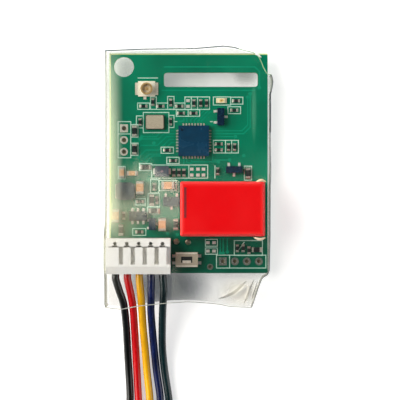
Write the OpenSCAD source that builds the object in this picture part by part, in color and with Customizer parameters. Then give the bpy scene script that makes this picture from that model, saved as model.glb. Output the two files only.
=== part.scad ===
// Smart relay module: a small control board with a signal relay, a radio chip, a push button
// and a five-way lead set, shut in a clear shrink-film sleeve. All sizes are in millimetres.
// X runs across the board, Y along it away from the leads, Z out of the component side.

/* [Board] */
// Width of the circuit board
board_w = 27.0; // [24:0.5:32]
// Length of the circuit board
board_l = 37.5; // [33.5:0.5:45]
// Thickness of the circuit board
board_t = 1.0; // [0.8:0.1:1.6]
// Diameter of the round corner hole
hole_d = 3.4; // [2.5:0.1:3.8]
// Width of the long isolation slot
slot_w = 2.4; // [1.5:0.1:2.8]

/* [Sleeve] */
// Thickness of the shrink film
film_t = 0.15; // [0.1:0.01:0.25]
// Length of sleeve past the board at the lead end
sleeve_tail = 5.95; // [4.5:0.05:9]
// Length of sleeve past the board at the antenna end
sleeve_head = 1.25; // [0.8:0.05:3]

/* [Relay] */
// Length of the relay cover
relay_l = 14.2; // [12.5:0.1:16]
// Width of the relay cover
relay_w = 9.2; // [8.1:0.1:10.4]
// Height of the relay above the board
relay_h = 5.4; // [4.8:0.1:6.5]
// Tilt of the armature to either side of level, in degrees
rock = 2; // [1:0.25:2.5]

/* [Connector] */
// Height of the lead connector above the board
conn_h = 4.8; // [4.3:0.1:5.6]
// Thickness of the square header pins
pin_w = 0.5; // [0.4:0.05:0.6]

/* [Leads] */
// Outside diameter of a lead
lead_d = 1.3; // [1.0:0.05:1.5]
// Length of the tinned end of a lead
tip_l = 4.0; // [2:0.5:6]
// Diameter of the tinned end of a lead
tip_d = 0.6; // [0.4:0.05:0.9]

/* [Button] */
// Height of the push button's frame above the board
switch_h = 1.4; // [1.2:0.05:1.7]
// Length of the push button's cap
cap_l = 1.7; // [1.4:0.1:2.0]
// Width of the push button's cap
cap_w = 0.85; // [0.7:0.05:1.0]

/* [Hidden] */
$fn = 48;

// room between board and film at the left and right edges
gap_l = 0.7;
gap_r = 0.4;
sleeve_w = board_w + gap_l + gap_r;
sleeve_l = board_l + sleeve_tail + sleeve_head;
// the board's lower left corner, its underside and its component side
x0 = -sleeve_w / 2 + gap_l;
y0 = -sleeve_l / 2 + sleeve_tail;
zb = film_t + 1.55;
zt = zb + board_t;
// tips of the soldered pins, just clear of the film
pin_tip = film_t + 0.1 - zt;

// the relay stands at the board's right edge, just past the connector
relay_edge = 0.65;
relay_v0 = 6.38;
relay_v1 = relay_v0 + relay_w;
relay_u0 = board_w - relay_edge - relay_l;
relay_at = [relay_u0 + relay_l / 2, relay_v0 + relay_w / 2];
// the layout as drawn: the board's width and length, and the relay's left, lower and upper edge on it
plan = [27.0, 37.5];
plan_relay = [12.15, 6.38, 15.58];
// a place on the layout moves with its zone: radio parts with the room past the relay,
// power parts with the room beside it, the row at the lead end with the board's width
power_k = relay_u0 / plan_relay[0];
function in_power(p) = p[1] > plan_relay[1] && p[1] < plan_relay[2];
function moved(p) = p[1] > plan_relay[2] ? [p[0] * board_w / plan[0],
        relay_v1 + (p[1] - plan_relay[2]) * (board_l - relay_v1) / (plan[1] - plan_relay[2])] :
    in_power(p) ? [p[0] * power_k,
        relay_v0 + (p[1] - plan_relay[1]) * relay_w / (plan_relay[2] - plan_relay[1])] :
    [p[0] * board_w / plan[0], p[1]];
// power parts come in a size that fits the room beside the relay
function size_u(p) = in_power(p) ? power_k : 1;
function along(c) = c[2] == 0 ? size_u(c) : 1;
function across(c) = c[2] == 0 ? 1 : size_u(c);

// the connector's block and the height of its pins above the board
conn_u0 = -0.4;
conn_u1 = 10.45;
pin_z = 2.1;
plug_front = 4.52;
plug_shelf = 3.35;
// the plug's top slopes down to the leads from here
plug_nose = 1.3;
pin_pitch = 2.0;
header_u = [for (i = [0:4]) 1.15 + i * pin_pitch];
header_v = 5.15;

// places on the board, from its lower left corner
hole_at = moved([2.47, 35.19]);
slot_at = moved([17.3, 33.0]);
slot_l = board_w - 11.0;
relay_pitch = (relay_l - 4.04) / 4;
pin_row = relay_w / 2 - 1.1;
relay_pins = [for (i = [-2:2], s = [-1, 1]) [i * relay_pitch, s * pin_row]];
switch_reach = 2.47;
switch_at = [conn_u1 + 0.27 + switch_reach, 2.34];
mcu_at = moved([14.37, 22.56]);
crystal_at = moved([7.76, 25.77]);
socket_at = moved([6.35, 31.45]);
led_at = moved([19.1, 29.44]);
inductor_at = [2.68, 13.98];
diode_at = moved([8.96, 17.36]);
// plated holes left open: place, square or round outline, half width of the pad, bore radius
pad_row = moved([19.35, 2.0]);
open_holes = [[each moved([2.47, 24.72]), 1, 0.68, 0.42], [each moved([2.47, 22.72]), 0, 0.68, 0.42],
    [each moved([2.47, 20.72]), 0, 0.68, 0.42], [each pad_row, 1, 0.68, 0.42],
    for (u = [21.4, 23.45, 25.5]) [each moved([u, 2.0]), 0, 0.68, 0.42],
    [(switch_at[0] + switch_reach + pad_row[0] - 0.68) / 2, 1.08, 0, 0.52, 0.3]];
// transistor packages: place, turn, length, width, then leads on the upper and lower side
transistors = [[18.98, 26.67, 90, 2.95, 1.3, [-0.95, 0.95], [0]],
    [21.25, 17.66, 0, 2.75, 1.25, [-0.9, 0.9], [0]],
    [4.86, 9.73, 0, 3.0, 1.65, [-0.95, 0, 0.95], [-0.95, 0, 0.95]],
    [10.55, 12.2, 0, 2.85, 1.7, [-0.95, 0.95], [0]],
    [7.34, 8.36, 90, 2.05, 1.25, [-0.65, 0.65], [0]]];
// chip parts: place, turn, length, width, height
resistors = [[5.8, 28.5, 0, 1.0, 0.5, 0.35], [8.7, 28.5, 0, 1.0, 0.5, 0.35],
    [11.95, 28.5, 0, 1.0, 0.5, 0.35], [12.2, 27.3, 0, 1.0, 0.5, 0.35],
    [14.35, 27.3, 0, 1.0, 0.5, 0.35], [21.6, 29.4, 0, 1.0, 0.5, 0.35],
    [21.3, 27.8, 0, 1.0, 0.5, 0.35], [9.85, 21.0, 0, 1.0, 0.5, 0.35],
    [10.85, 19.2, 0, 1.0, 0.5, 0.35], [18.65, 22.05, 0, 1.0, 0.5, 0.35],
    [18.65, 21.05, 0, 1.0, 0.5, 0.35], [5.2, 12.2, 0, 1.0, 0.5, 0.35],
    [7.6, 10.65, 0, 1.6, 0.8, 0.45], [5.1, 7.05, 0, 1.0, 0.5, 0.35],
    [25.1, 4.0, 0, 1.6, 0.8, 0.45], [6.15, 18.1, 0, 1.6, 0.8, 0.45],
    [7.4, 29.2, 90, 1.0, 0.5, 0.35], [10.45, 29.1, 90, 1.0, 0.5, 0.35],
    [14.4, 29.0, 90, 1.0, 0.5, 0.35], [15.55, 29.0, 90, 1.0, 0.5, 0.35],
    [16.55, 29.0, 90, 1.0, 0.5, 0.35], [4.25, 24.25, 90, 1.6, 0.8, 0.45],
    [4.25, 21.15, 90, 1.6, 0.8, 0.45], [20.3, 21.5, 90, 1.0, 0.5, 0.35],
    [21.35, 21.5, 90, 1.0, 0.5, 0.35], [11.0, 17.15, 90, 1.0, 0.5, 0.35],
    [11.85, 17.15, 90, 1.0, 0.5, 0.35], [12.7, 17.15, 90, 1.0, 0.5, 0.35],
    [18.45, 17.4, 90, 1.0, 0.5, 0.35], [23.65, 17.05, 90, 1.6, 0.8, 0.45],
    [7.6, 14.75, 90, 1.0, 0.5, 0.35], [7.2, 12.45, 90, 1.6, 0.8, 0.45],
    [8.1, 12.45, 90, 1.0, 0.5, 0.35], [2.45, 9.8, 90, 1.0, 0.5, 0.35],
    [1.95, 7.35, 90, 1.6, 0.8, 0.45], [11.3, 8.3, 90, 1.6, 0.8, 0.45],
    [21.8, 4.25, 90, 1.0, 0.5, 0.35], [22.8, 4.25, 90, 1.0, 0.5, 0.35],
    [23.8, 3.9, 90, 1.0, 0.5, 0.35], [5.2, 25.75, 90, 1.0, 0.5, 0.35],
    [10.4, 25.85, 90, 1.0, 0.5, 0.35]];
capacitors = [[10.0, 14.95, 0, 2.0, 1.25, 1.15], [3.85, 17.05, 0, 1.6, 0.8, 0.8],
    [5.2, 14.6, 90, 2.0, 1.25, 1.15], [1.0, 9.8, 90, 2.0, 1.25, 1.15],
    [9.0, 8.3, 90, 2.0, 1.25, 1.15], [2.1, 17.15, 90, 1.6, 0.8, 0.8]];
// share of a chip's length that each of its tinned ends takes up
chip_end = 0.17;
// two solder mounds on the component side
mounds = [[conn_u1 + 0.98, 5.38], [conn_u1 + 2.95, 5.29]];

// heights inside the relay, above the board
rb = 0.2;
// side of the square that bevels the cover's upper edges
cover_cut = 0.5;
rb_top = 0.8;
axle_z = relay_h - 1.6;
arm_room = 0.5;
coil_z = (rb_top + axle_z - arm_room) / 2;
coil_r = (axle_z - arm_room - rb_top) / 2 - 0.03;
arm_drop = 0.25;
// contacts from the relay's middle, then the pole posts and bobbin flanges inside them
contact_x = relay_l / 2 - 2.1;
contact_y = relay_w / 2 - 1.7;
arm_half = contact_x - 0.05;
pole_x = contact_x - 0.5;
flange_x = contact_x - 1.4;
post_y = contact_y - 0.9;
spring_z = axle_z + 0.13;
stud_bottom = spring_z - 0.25;
pole_top = axle_z - arm_drop - sin(rock) * arm_half - 0.03;
fixed_top = stud_bottom - sin(rock) * (contact_x + 0.35) - 0.03;

// the button's parts, above the board
dome_z = 0.36;
dome_top = 0.66;
cap_bottom = dome_top + 0.02;

// leads: the way each one lies, as distances from the board's lower left corner and above the floor
lead_z = zt + pin_z;
floor_z = lead_d / 2 + 0.05;
lead_v = [0.3, -0.35, -1.0, -3.0, -4.6, -6.3, -9.5, -13.1, -17.0, -21.3, -23.7, -24.35, -25.0];
lead_fall = [0, 0, 0, 0.04, 0.12, 0.26, 0.54, 0.8, 0.95, 1, 1, 1, 1];
// past the plug the middle lead has its own line, and the others keep these free spaces between them
middle_u = [5.35, 5.48, 5.58, 5.75, 6.05, 6.35, 6.8, 6.75, 6.75, 6.75];
between = [[0.5, 0.25, 0.15, 0.07, 0.08, 0.08, 0.1, 0.45, 0.45, 0.45],
    [0.45, 0.28, 0.18, 0.18, 0.32, 0.42, 0.65, 0.45, 0.45, 0.45],
    [0.5, 0.37, 0.22, 0.25, 0.25, 0.35, 0.5, 0.45, 0.45, 0.45],
    [0.85, 0.75, 0.7, 0.4, 0.12, 0.1, 0.15, 0.45, 0.45, 0.45]];
function side_step(a, b, k) = a >= b ? 0 : lead_d + between[a][k] + side_step(a + 1, b, k);
function lead_u(i, k) = k < 2 ? header_u[i] : k < 3 ? header_u[i] + 0.03 :
    middle_u[k - 3] - side_step(i, 2, k - 3) + side_step(2, i, k - 3);
// the tied hank: ends of its two loops, its waist, the lead's end, bend radius and layer step
near_v = -26.3;
far_v = -43.8;
waist_v = -35.8;
end_v = -37.2;
bend_r = 3 * lead_d;
layer = lead_d + 0.45;
lift = 0.5;
lanes = [for (i = [0:4]) middle_u[9] + (i - 2) * layer];

function unit(a) = a / norm(a);
function ends(p, i) = p[min(i + 1, len(p) - 1)] - p[max(i - 1, 0)];
function smooth(a, b, c, d, t) = 0.5 * (2 * b + (c - a) * t + (2 * a - 5 * b + 4 * c - d) * t * t
    + (3 * b - a - 3 * c + d) * t * t * t);
function curve(p, n) = concat([for (i = [0:len(p) - 2], k = [0:n - 1])
    smooth(p[max(i - 1, 0)], p[i], p[i + 1], p[min(i + 2, len(p) - 1)], k / n)], [p[len(p) - 1]]);
function lead_path(i) = curve([for (k = [0:len(lead_v) - 1])
    [x0 + lead_u(i, k), y0 + lead_v[k], lead_z + (floor_z - lead_z) * lead_fall[k]]], 2);
function bump(v) = abs(v - waist_v) < 1.6 ? 1 : abs(v - waist_v) < 5.6 ?
    (1 + cos(45 * (abs(v - waist_v) - 1.6))) / 2 : 0;
function ease(s) = (1 - cos(180 * s)) / 2;
waist_z = floor_z + lift + 2 * layer + 0.05;
function hank_vz() = concat(
    [for (k = [0:14]) let (v = lead_v[12] + (far_v - lead_v[12]) * k / 15)
        [v, floor_z + lift * bump(v)]],
    [for (k = [0:12]) [far_v - bend_r * sin(15 * k), floor_z + bend_r - bend_r * cos(15 * k)]],
    [for (k = [1:9]) [far_v + (waist_v - far_v) * k / 9,
        floor_z + 2 * bend_r + (waist_z - floor_z - 2 * bend_r) * ease(k / 9)]],
    [for (k = [1:9]) [waist_v + (near_v - waist_v) * k / 9,
        waist_z + (floor_z + layer + 2 * bend_r - waist_z) * ease(k / 9)]],
    [for (k = [1:12])
        [near_v + bend_r * sin(15 * k), floor_z + layer + bend_r + bend_r * cos(15 * k)]],
    [for (k = [1:6]) [near_v - 7 * k / 6, floor_z + layer + lift * ease(k / 6)]],
    [for (k = [1:4]) [near_v - 7 + (end_v - near_v + 7) * k / 4, floor_z + layer + lift]]);
function hank_path(i) = [for (p = hank_vz()) [x0 + lanes[i], y0 + p[0], p[1]]];
echo("least gap of a hank to itself", min([for (a = [0:63], b = [0:63]) if (b > a + 6)
    norm(hank_vz()[a] - hank_vz()[b]) - lead_d]));

// sleeve: the film lies at the height of its sides and swells to the relay and to the connector, clear of both
film_room = 0.15;
function swell(u, v, box, reach) =
    pow(1 - min(1, norm([max(0, (box[0] - u) / reach[0], (u - box[2]) / reach[2]),
        max(0, (box[1] - v) / reach[1], (v - box[3]) / reach[3])])), 1.6);
relay_box = [relay_u0 - 0.1, relay_v0 - 0.1, relay_u0 + relay_l + 0.1, relay_v1 + 0.1];
plug_box = [-gap_l, -sleeve_tail, conn_u1 + 0.2, relay_v0 - 0.1];
relay_reach = [relay_u0 + gap_l + 0.15, 11, 30, 7];
plug_reach = [1, 1, 9, 6];
function side_z(v) = 1.5 - 0.6 * max(0, -v) / sleeve_tail
    - 1.2 * max(0, min(1, (v - slot_at[1]) / (board_l - slot_at[1])));
function film_z(u, v) = let (side = side_z(v), relay = swell(u, v, relay_box, relay_reach))
    zt + side + (relay_h + film_t + film_room - side) * relay
        + (conn_h + film_t + film_room - side) * swell(u, v, plug_box, plug_reach) * (1 - relay);
function film_right(v) = board_w + gap_r - (v > -0.15 ? 0 : v > -1.2 ? 1.2 * (-0.15 - v) / 1.05 :
    1.2 + 2.0 * (-1.2 - v) / (sleeve_tail - 1.2));
// its sides turn down in a round: tight beside the connector and at the head, wide on the left between them
film_r = 0.4;
function left_r(v) =
    film_r + 2.2 * max(0, min(1, (v - relay_v0) / 2.7, (board_l - v) / (board_l - slot_at[1])));
film_v = [board_l + sleeve_head, board_l,
    for (v = [36, 34.5, 33, 30, 27, 24.5]) moved([0, v])[1],
    for (v = [7, 5.4, 3.8, 2.3, 1.1, 0]) relay_box[3] + v,
    for (v = [7.7, 5.8, 4, 2.7, 1.8, 0.9]) relay_v0 + v, relay_box[1],
    4.5, 2.5, 0.5, -0.15, -1.2, -2.6, -4.2, -sleeve_tail];
function round_in(r, n) = [for (k = [0:n]) [r * (1 - cos(90 * k / n)), r * (1 - sin(90 * k / n))]];
function round_out(r, n) = [for (k = [n:-1:0]) round_in(r, n)[k]];
fold_u = max(relay_box[0], plug_box[2] + 0.2);
function film_ring(v, o) =
    let (l = -gap_l + o, w = film_right(v) - o, rl = left_r(v) - o, r = film_r - o,
        top = concat([for (p = round_in(rl, 6)) [l + p[0], p[1]]],
            [for (k = [1:7]) [l + rl + (plug_box[2] - l - rl) * k / 7, 0]],
            [for (k = [0:8]) [fold_u + (w - r - fold_u) * k / 9, 0]],
            [for (p = round_out(r, 3)) [w - p[0], p[1]]]))
    concat([for (p = top) [x0 + p[0], y0 + v, film_z(p[0], v) - o - p[1]]],
        [for (p = round_in(r, 3)) [x0 + w - p[0], y0 + v, o + p[1]]],
        [for (p = round_out(r, 3)) [x0 + l + p[0], y0 + v, o + p[1]]]);

module at(p, z = 0) translate([x0 + p[0], y0 + p[1], zt + z]) children();
module block(l, w, z1, z2) translate([-l / 2, -w / 2, z1]) cube([l, w, z2 - z1]);
module round_rect(l, w, r) {
    square([l - 2 * r, w], center = true);
    square([l, w - 2 * r], center = true);
    for (i = [-1, 1], j = [-1, 1]) translate([i * (l / 2 - r), j * (w / 2 - r)]) circle(r);
}
module round_block(l, w, r, z1, z2) translate([0, 0, z1]) linear_extrude(z2 - z1) round_rect(l, w, r);
module tube(p, r, n) {
    m = len(p);
    pts = [for (i = [0:m - 1]) let (t = unit(ends(p, i)), s = abs(t[0]) < 0.0001 ? [1, 0, 0] :
        unit(cross([0, 0, 1], t)) * (t[1] > 0 ? -1 : 1), w = cross(s, t))
        each [for (k = [0:n - 1]) p[i] + r * (cos(360 * k / n) * s + sin(360 * k / n) * w)]];
    sides = [for (i = [0:m - 2], k = [0:n - 1]) let (a = i * n + k, b = i * n + (k + 1) % n)
        each [[a, b + n, b], [a, a + n, b + n]]];
    polyhedron(pts, concat(sides, [[for (k = [0:n - 1]) k]], [[for (k = [n - 1:-1:0]) (m - 1) * n + k]]));
}

// Board: glass-epoxy sheet with its holes
module circuit_board() color("#0b7a55") difference() {
    translate([x0, y0, zb]) cube([board_w, board_l, board_t]);
    at(hole_at, -board_t - 1) cylinder(d = hole_d, h = board_t + 2);
    at(slot_at, -board_t - 1) linear_extrude(board_t + 2) round_rect(slot_l, slot_w, 0.5);
    for (p = open_holes) at(p, -board_t - 1) cylinder(r = p[4], h = board_t + 2);
    for (p = relay_pins) at(relay_at + p, -board_t - 1) cylinder(r = 0.4, h = board_t + 2);
    for (u = header_u) at([u, header_v], -board_t - 1) cylinder(r = 0.45, h = board_t + 2);
}
module fillet_ring(bore) rotate_extrude()
    polygon([[bore, 0], [0.85, 0], [0.55, -0.25], [bore + 0.12, -0.8], [bore, -0.8]]);
module solder_joints() color("#c9ccce") {
    for (p = relay_pins) at(relay_at + p, -board_t) fillet_ring(0.27);
    for (u = header_u) at([u, header_v], -board_t) fillet_ring(pin_w * 0.71 + 0.03);
    for (p = mounds) at(p) cylinder(r1 = 0.5, r2 = 0.3, h = 0.25);
}
module hole_pads() color("#c8c6b8") for (p = open_holes, z = [0, -board_t - 0.04]) at(p, z) difference() {
    if (p[2] == 1) block(2 * p[3], 2 * p[3], 0, 0.04);
    else cylinder(r = p[3], h = 0.04);
    translate([0, 0, -1]) cylinder(r = p[4], h = 2);
}
module heat_shrink_sleeve() color("#d8e4e0", 0.4) {
    n = len(film_ring(0, 0));
    m = len(film_v);
    pts = concat([for (v = film_v) each film_ring(v, 0)], [for (v = film_v) each film_ring(v, film_t)]);
    far = m * n;
    skin = [for (i = [0:m - 2], k = [0:n - 1]) let (a = i * n + k, b = i * n + (k + 1) % n)
        each [[a, b, b + n], [a, b + n, a + n]]];
    lining = [for (f = skin) [far + f[2], far + f[1], far + f[0]]];
    first = [for (k = [0:n - 1]) let (j = (k + 1) % n) each [[k, far + j, j], [k, far + k, far + j]]];
    last = [for (k = [0:n - 1]) let (a = (m - 1) * n + k, b = (m - 1) * n + (k + 1) % n)
        each [[a, b, far + b], [a, far + b, far + a]]];
    polyhedron(pts, concat(skin, lining, first, last));
}

// Relay: cover, base, coil and rocking armature
module relay_cover() color("#e0141e") at(relay_at) difference() {
    round_block(relay_l, relay_w, 0.3, rb, relay_h);
    block(relay_l - 0.8, relay_w - 0.8, rb - 1, relay_h - 0.45);
    for (s = [-1, 1]) {
        translate([0, s * relay_w / 2, relay_h]) rotate([45, 0, 0])
            cube([relay_l + 1, cover_cut, cover_cut], center = true);
        translate([s * relay_l / 2, 0, relay_h]) rotate([0, 45, 0])
            cube([cover_cut, relay_w + 1, cover_cut], center = true);
    }
}
module relay_base() color("#30302e") at(relay_at) {
    difference() {
        block(relay_l - 0.9, relay_w - 0.9, rb, rb_top);
        for (p = relay_pins) translate([p[0], p[1], -1]) cylinder(r = 0.27, h = 3);
    }
    for (s = [-1, 1]) difference() {
        translate([0, s * post_y, 0]) block(1.4, 0.4, rb_top, axle_z + 0.2);
        translate([0, s * post_y + 1, axle_z]) rotate([90, 0, 0]) cylinder(r = 0.33, h = 2);
        translate([0, s * post_y, 0]) block(0.66, 1, axle_z, axle_z + 1);
    }
}
module relay_terminals() color("#c4c6c8")
    for (p = relay_pins) at(relay_at + p, pin_tip) cylinder(r = 0.25, h = 1.2 - pin_tip);
module relay_bobbin() color("#d9d2c0") at(relay_at) difference() {
    union() {
        translate([-flange_x - 0.2, 0, coil_z]) rotate([0, 90, 0]) cylinder(r = 0.75, h = 2 * flange_x + 0.4);
        for (s = [-1, 1]) translate([s * flange_x, 0, 0]) block(0.4, 3.0, rb_top, axle_z - arm_room);
    }
    translate([-flange_x - 1, 0, coil_z]) rotate([0, 90, 0]) cylinder(r = 0.53, h = 2 * flange_x + 2);
}
module relay_coil() color("#b5652a") at(relay_at, coil_z) rotate([0, 90, 0]) difference() {
    translate([0, 0, 0.22 - flange_x]) cylinder(r = coil_r, h = 2 * flange_x - 0.44);
    translate([0, 0, -flange_x]) cylinder(r = 0.76, h = 2 * flange_x);
}
module relay_core() color("#8f9498") at(relay_at) {
    translate([0.3 - pole_x, 0, coil_z]) rotate([0, 90, 0]) cylinder(r = 0.5, h = 2 * pole_x - 0.6);
    for (s = [-1, 1]) translate([s * pole_x, 0, 0]) block(0.8, 2.4, rb_top, pole_top);
}
module rocked() at(relay_at, axle_z) rotate([0, -rock, 0]) children();
module relay_armature() color("#9a9ea2") rocked() block(2 * arm_half, 2 * post_y - 1.8, -arm_drop, 0.25);
module relay_card() color("#efe9da") rocked() {
    block(6.0, 2 * contact_y + 0.8, 0.25, 0.65);
    for (s = [-1, 1]) {
        translate([0, s * (post_y - 0.6), 0]) block(1.2, 0.4, -0.3, 0.25);
        translate([0, s * (post_y - 0.05) + 0.45, 0]) rotate([90, 0, 0]) cylinder(r = 0.3, h = 0.9);
    }
}
module relay_contact_springs() color("#c9a45c") rocked() for (s = [-1, 1]) translate([0, s * contact_y, 0]) {
    block(2 * contact_x + 0.8, 0.7, 0.13, 0.25);
    for (e = [-1, 1]) translate([e * contact_x, 0, -0.12]) cylinder(r = 0.3, h = 0.25);
}
module relay_fixed_contacts() color("#cda75f") at(relay_at) for (e = [-1, 1], s = [-1, 1])
    translate([e * contact_x, s * contact_y, 0]) {
        translate([0, 0, fixed_top - 0.4]) cylinder(r = 0.3, h = 0.4);
        translate([e * 0.35, 0, 0]) block(1.3, 0.7, fixed_top - 0.4, fixed_top - 0.25);
        translate([e * 0.85, 0, 0]) block(0.3, 0.7, rb_top, fixed_top - 0.25);
    }

// Connector: header on the board, plug on the leads
module pin_way(w) for (u = header_u) at([u, header_v]) {
    translate([-w / 2, 1.3 - header_v, pin_z - w / 2]) cube([w, header_v - 1.3 + w / 2, w]);
    translate([-w / 2, -w / 2, pin_tip]) cube([w, w, pin_z + w / 2 - pin_tip]);
}
module header_shroud() color("#f3f0ea") difference() {
    at([conn_u0, 0]) {
        translate([0, 4.65, 0]) cube([conn_u1 - conn_u0, 1.35, conn_h]);
        translate([0, 0.1, 0]) cube([conn_u1 - conn_u0, 4.6, 0.5]);
        for (u = [0, conn_u1 - conn_u0 - 0.45]) translate([u, 0.1, 0])
            cube([0.45, 4.6, plug_shelf - 0.05]);
    }
    pin_way(pin_w + 0.04);
    for (u = header_u) {
        at([u, header_v], conn_h - 1.6) cylinder(r = 0.3, h = 3);
        at([u - 0.45, 4.5], conn_h - 1.2) cube([0.9, 0.35, 2]);
    }
}
module header_pins() color("#cfd2d3") pin_way(pin_w);
module plug_housing() color("#f5f2ec") difference() {
    at([conn_u0, 0]) {
        translate([0.5, 0, 0.55]) cube([conn_u1 - conn_u0 - 1.0, plug_front, plug_shelf - 0.5]);
        translate([0, 0, plug_shelf]) cube([conn_u1 - conn_u0, plug_front, conn_h - plug_shelf]);
    }
    at([conn_u0 - 1, plug_nose], conn_h) rotate([20, 0, 0]) translate([0, -5, 0])
        cube([conn_u1 - conn_u0 + 2, 5, 3]);
    for (u = header_u) {
        at([u + 0.65, 1.65], conn_h - 1.1) cube([u == header_u[4] ? 2 : 0.7, 4, 2]);
        at([u - 0.72, -1], pin_z - 0.72) cube([1.44, 6, 1.44]);
    }
}
module plug_contacts() color("#c8cacb") for (u = header_u) at([u, 0], pin_z) {
    difference() {
        translate([-0.65, 0.95, -0.65]) cube([1.3, 3.3, 1.3]);
        translate([-0.42, 1.15, -0.42]) cube([0.84, 4, 0.84]);
    }
    translate([0, 0.95, 0]) rotate([90, 0, 0]) cylinder(r = 0.6, h = 0.65);
}

// Leads: free stretch, tied hank and tinned ends
module lead_black() color("#111111") tube(lead_path(0), lead_d / 2, 8);
module lead_red() color("#d8000c") tube(lead_path(1), lead_d / 2, 8);
module lead_yellow() color("#ffc400") tube(lead_path(2), lead_d / 2, 8);
module lead_blue() color("#0a2a60") tube(lead_path(3), lead_d / 2, 8);
module lead_green() color("#04262a") tube(lead_path(4), lead_d / 2, 8);
module lead_black_hank() color("#111111") tube(hank_path(0), lead_d / 2, 6);
module lead_red_hank() color("#d8000c") tube(hank_path(1), lead_d / 2, 6);
module lead_yellow_hank() color("#ffc400") tube(hank_path(2), lead_d / 2, 6);
module lead_blue_hank() color("#0a2a60") tube(hank_path(3), lead_d / 2, 6);
module lead_green_hank() color("#04262a") tube(hank_path(4), lead_d / 2, 6);
module lead_tips() color("#c9cbcc") for (u = lanes)
    translate([x0 + u, y0 + end_v, floor_z + layer + lift]) rotate([90, 0, 0])
        cylinder(d = tip_d, h = tip_l);
module lead_tie() color("#e6e6e2") {
    tie_u = (lanes[0] + lanes[4]) / 2;
    tie_w = lanes[4] - lanes[0] + lead_d + 0.1;
    tie_h = waist_z + lead_d / 2 + 0.35 - lift;
    translate([x0 + tie_u, y0 + waist_v + 1.2, lift + tie_h / 2]) rotate([90, 0, 0]) linear_extrude(2.4)
        difference() {
            round_rect(tie_w + 0.9, tie_h + 0.9, 0.7);
            round_rect(tie_w, tie_h, 0.25);
        }
    translate([x0 + tie_u, y0 + waist_v, lift + tie_h + 0.45]) round_block(3.2, 3.0, 0.4, 0, 1.5);
}

// Push button: base, dome, cap and metal frame
module switch_base() color("#22262a") at(switch_at) difference() {
    block(3.5, 2.2, 0, 0.7);
    translate([0, 0, dome_z]) cylinder(r = 0.9, h = 1);
}
module switch_frame() color("#b9aa92") at(switch_at) difference() {
    block(3.8, 2.5, 0.1, switch_h);
    block(5, 2.24, -1, switch_h - 0.15);
    block(cap_l + 0.2, cap_w + 0.2, 0, switch_h + 1);
}
module switch_button() color("#101214") at(switch_at) {
    block(cap_l, cap_w, cap_bottom + 0.2, switch_h - 0.05);
    block(cap_l + 0.5, cap_w + 0.55, cap_bottom + 0.2, switch_h - 0.2);
    translate([0, 0, cap_bottom]) cylinder(r = 0.35, h = 0.2);
}
module switch_dome() color("#d0d2d2") at(switch_at) rotate_extrude() polygon([[0, dome_top - 0.06],
    [0.3, dome_top - 0.1], [0.6, dome_top - 0.19], [0.8, dome_z], [0.86, dome_z], [0.65, dome_top - 0.13],
    [0.33, dome_top - 0.03], [0, dome_top]]);
module switch_terminals() color("#cbc8c0") at(switch_at) for (s = [-1, 1], t = [-1, 1])
    translate([s * (switch_reach - 0.35), t * 0.6, 0]) block(0.7, 0.5, 0, 0.2);

// Radio chip, crystal, antenna socket and indicator lamp
module mcu_body() color("#0b3b52") at(mcu_at) block(5.2, 5.2, 0.12, 0.9);
module mcu_leads() color("#b9bcbd") at(mcu_at) {
    for (a = [0:90:270], k = [0:7]) rotate(a) translate([2.58, (k - 3.5) * 0.5, 0])
        block(0.84, 0.26, 0, 0.12);
    block(3.3, 3.3, 0, 0.12);
}
module crystal_base() color("#3a3530") at(crystal_at) difference() {
    block(3.2, 2.5, 0, 0.5);
    block(2.6, 1.9, 0.2, 1);
}
module crystal_lid() color("#c4b49c") at(crystal_at) round_block(2.95, 2.25, 0.25, 0.5, 0.72);
module quartz_blank() color("#dfe7ea") at(crystal_at) block(2.3, 1.6, 0.2, 0.28);
module antenna_socket_body() color("#f7eed2") at(socket_at) difference() {
    union() {
        block(2.9, 2.6, 0, 0.35);
        cylinder(r = 0.68, h = 0.55);
    }
    translate([0, 0, 0.2]) cylinder(r = 0.27, h = 1);
}
module antenna_socket_shell() color("#d9a860") at(socket_at) {
    translate([0, 0, 0.35]) rotate_extrude()
        polygon([[0.72, 0], [1.02, 0], [1.02, 0.25], [0.92, 0.35], [0.92, 0.5], [1.02, 0.6], [1.02, 0.85],
            [0.72, 0.85]]);
    for (s = [-1, 1]) translate([s * 1.7, 0, 0]) block(0.5, 2.1, 0, 0.18);
}
module antenna_socket_pin() color("#e0b46a") at(socket_at) {
    translate([0, 0, 0.2]) cylinder(r = 0.25, h = 0.8);
    translate([-0.3, -1.55, 0]) block(0.5, 0.5, 0, 0.15);
}
module led_body() color("#efe6c8") at(led_at) block(1.8, 0.85, 0, 0.25);
module led_lens() color("#e6cf8e") at(led_at) round_block(1.15, 0.8, 0.1, 0.25, 0.55);

// Power parts
module power_inductor() color("#5d676b") at(moved(inductor_at))
    round_block(3.2 * size_u(inductor_at), 3.0, 0.8, 0.08, 1.2);
module inductor_ends() color("#c7c9ca") at(moved(inductor_at)) for (s = [-1, 1])
    translate([s * 1.25 * size_u(inductor_at), 0, 0]) block(0.9 * size_u(inductor_at), 2.4, 0, 0.08);
module transistor_bodies() color("#052a45") for (t = transistors) at(moved(t)) rotate(t[2]) {
    l = t[3] * along(t);
    w = t[4] * across(t) / 2;
    translate([-l / 2, 0, 0]) rotate([90, 0, 90]) linear_extrude(l) polygon([[-w, 0.42], [-w, 0.58],
        [-w + 0.1, 0.98], [w - 0.1, 0.98], [w, 0.58], [w, 0.42], [w - 0.08, 0.08], [-w + 0.08, 0.08]]);
}
module gull(w, l) translate([-w / 2, 0, 0]) rotate([90, 0, 90]) linear_extrude(w) let (a = min(0.18, l / 2))
    polygon([[0, 0.44], [0.1, 0.44], [a, 0], [l, 0], [l, 0.12], [a + 0.1, 0.12], [a + 0.02, 0.56],
        [0, 0.56]]);
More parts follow.
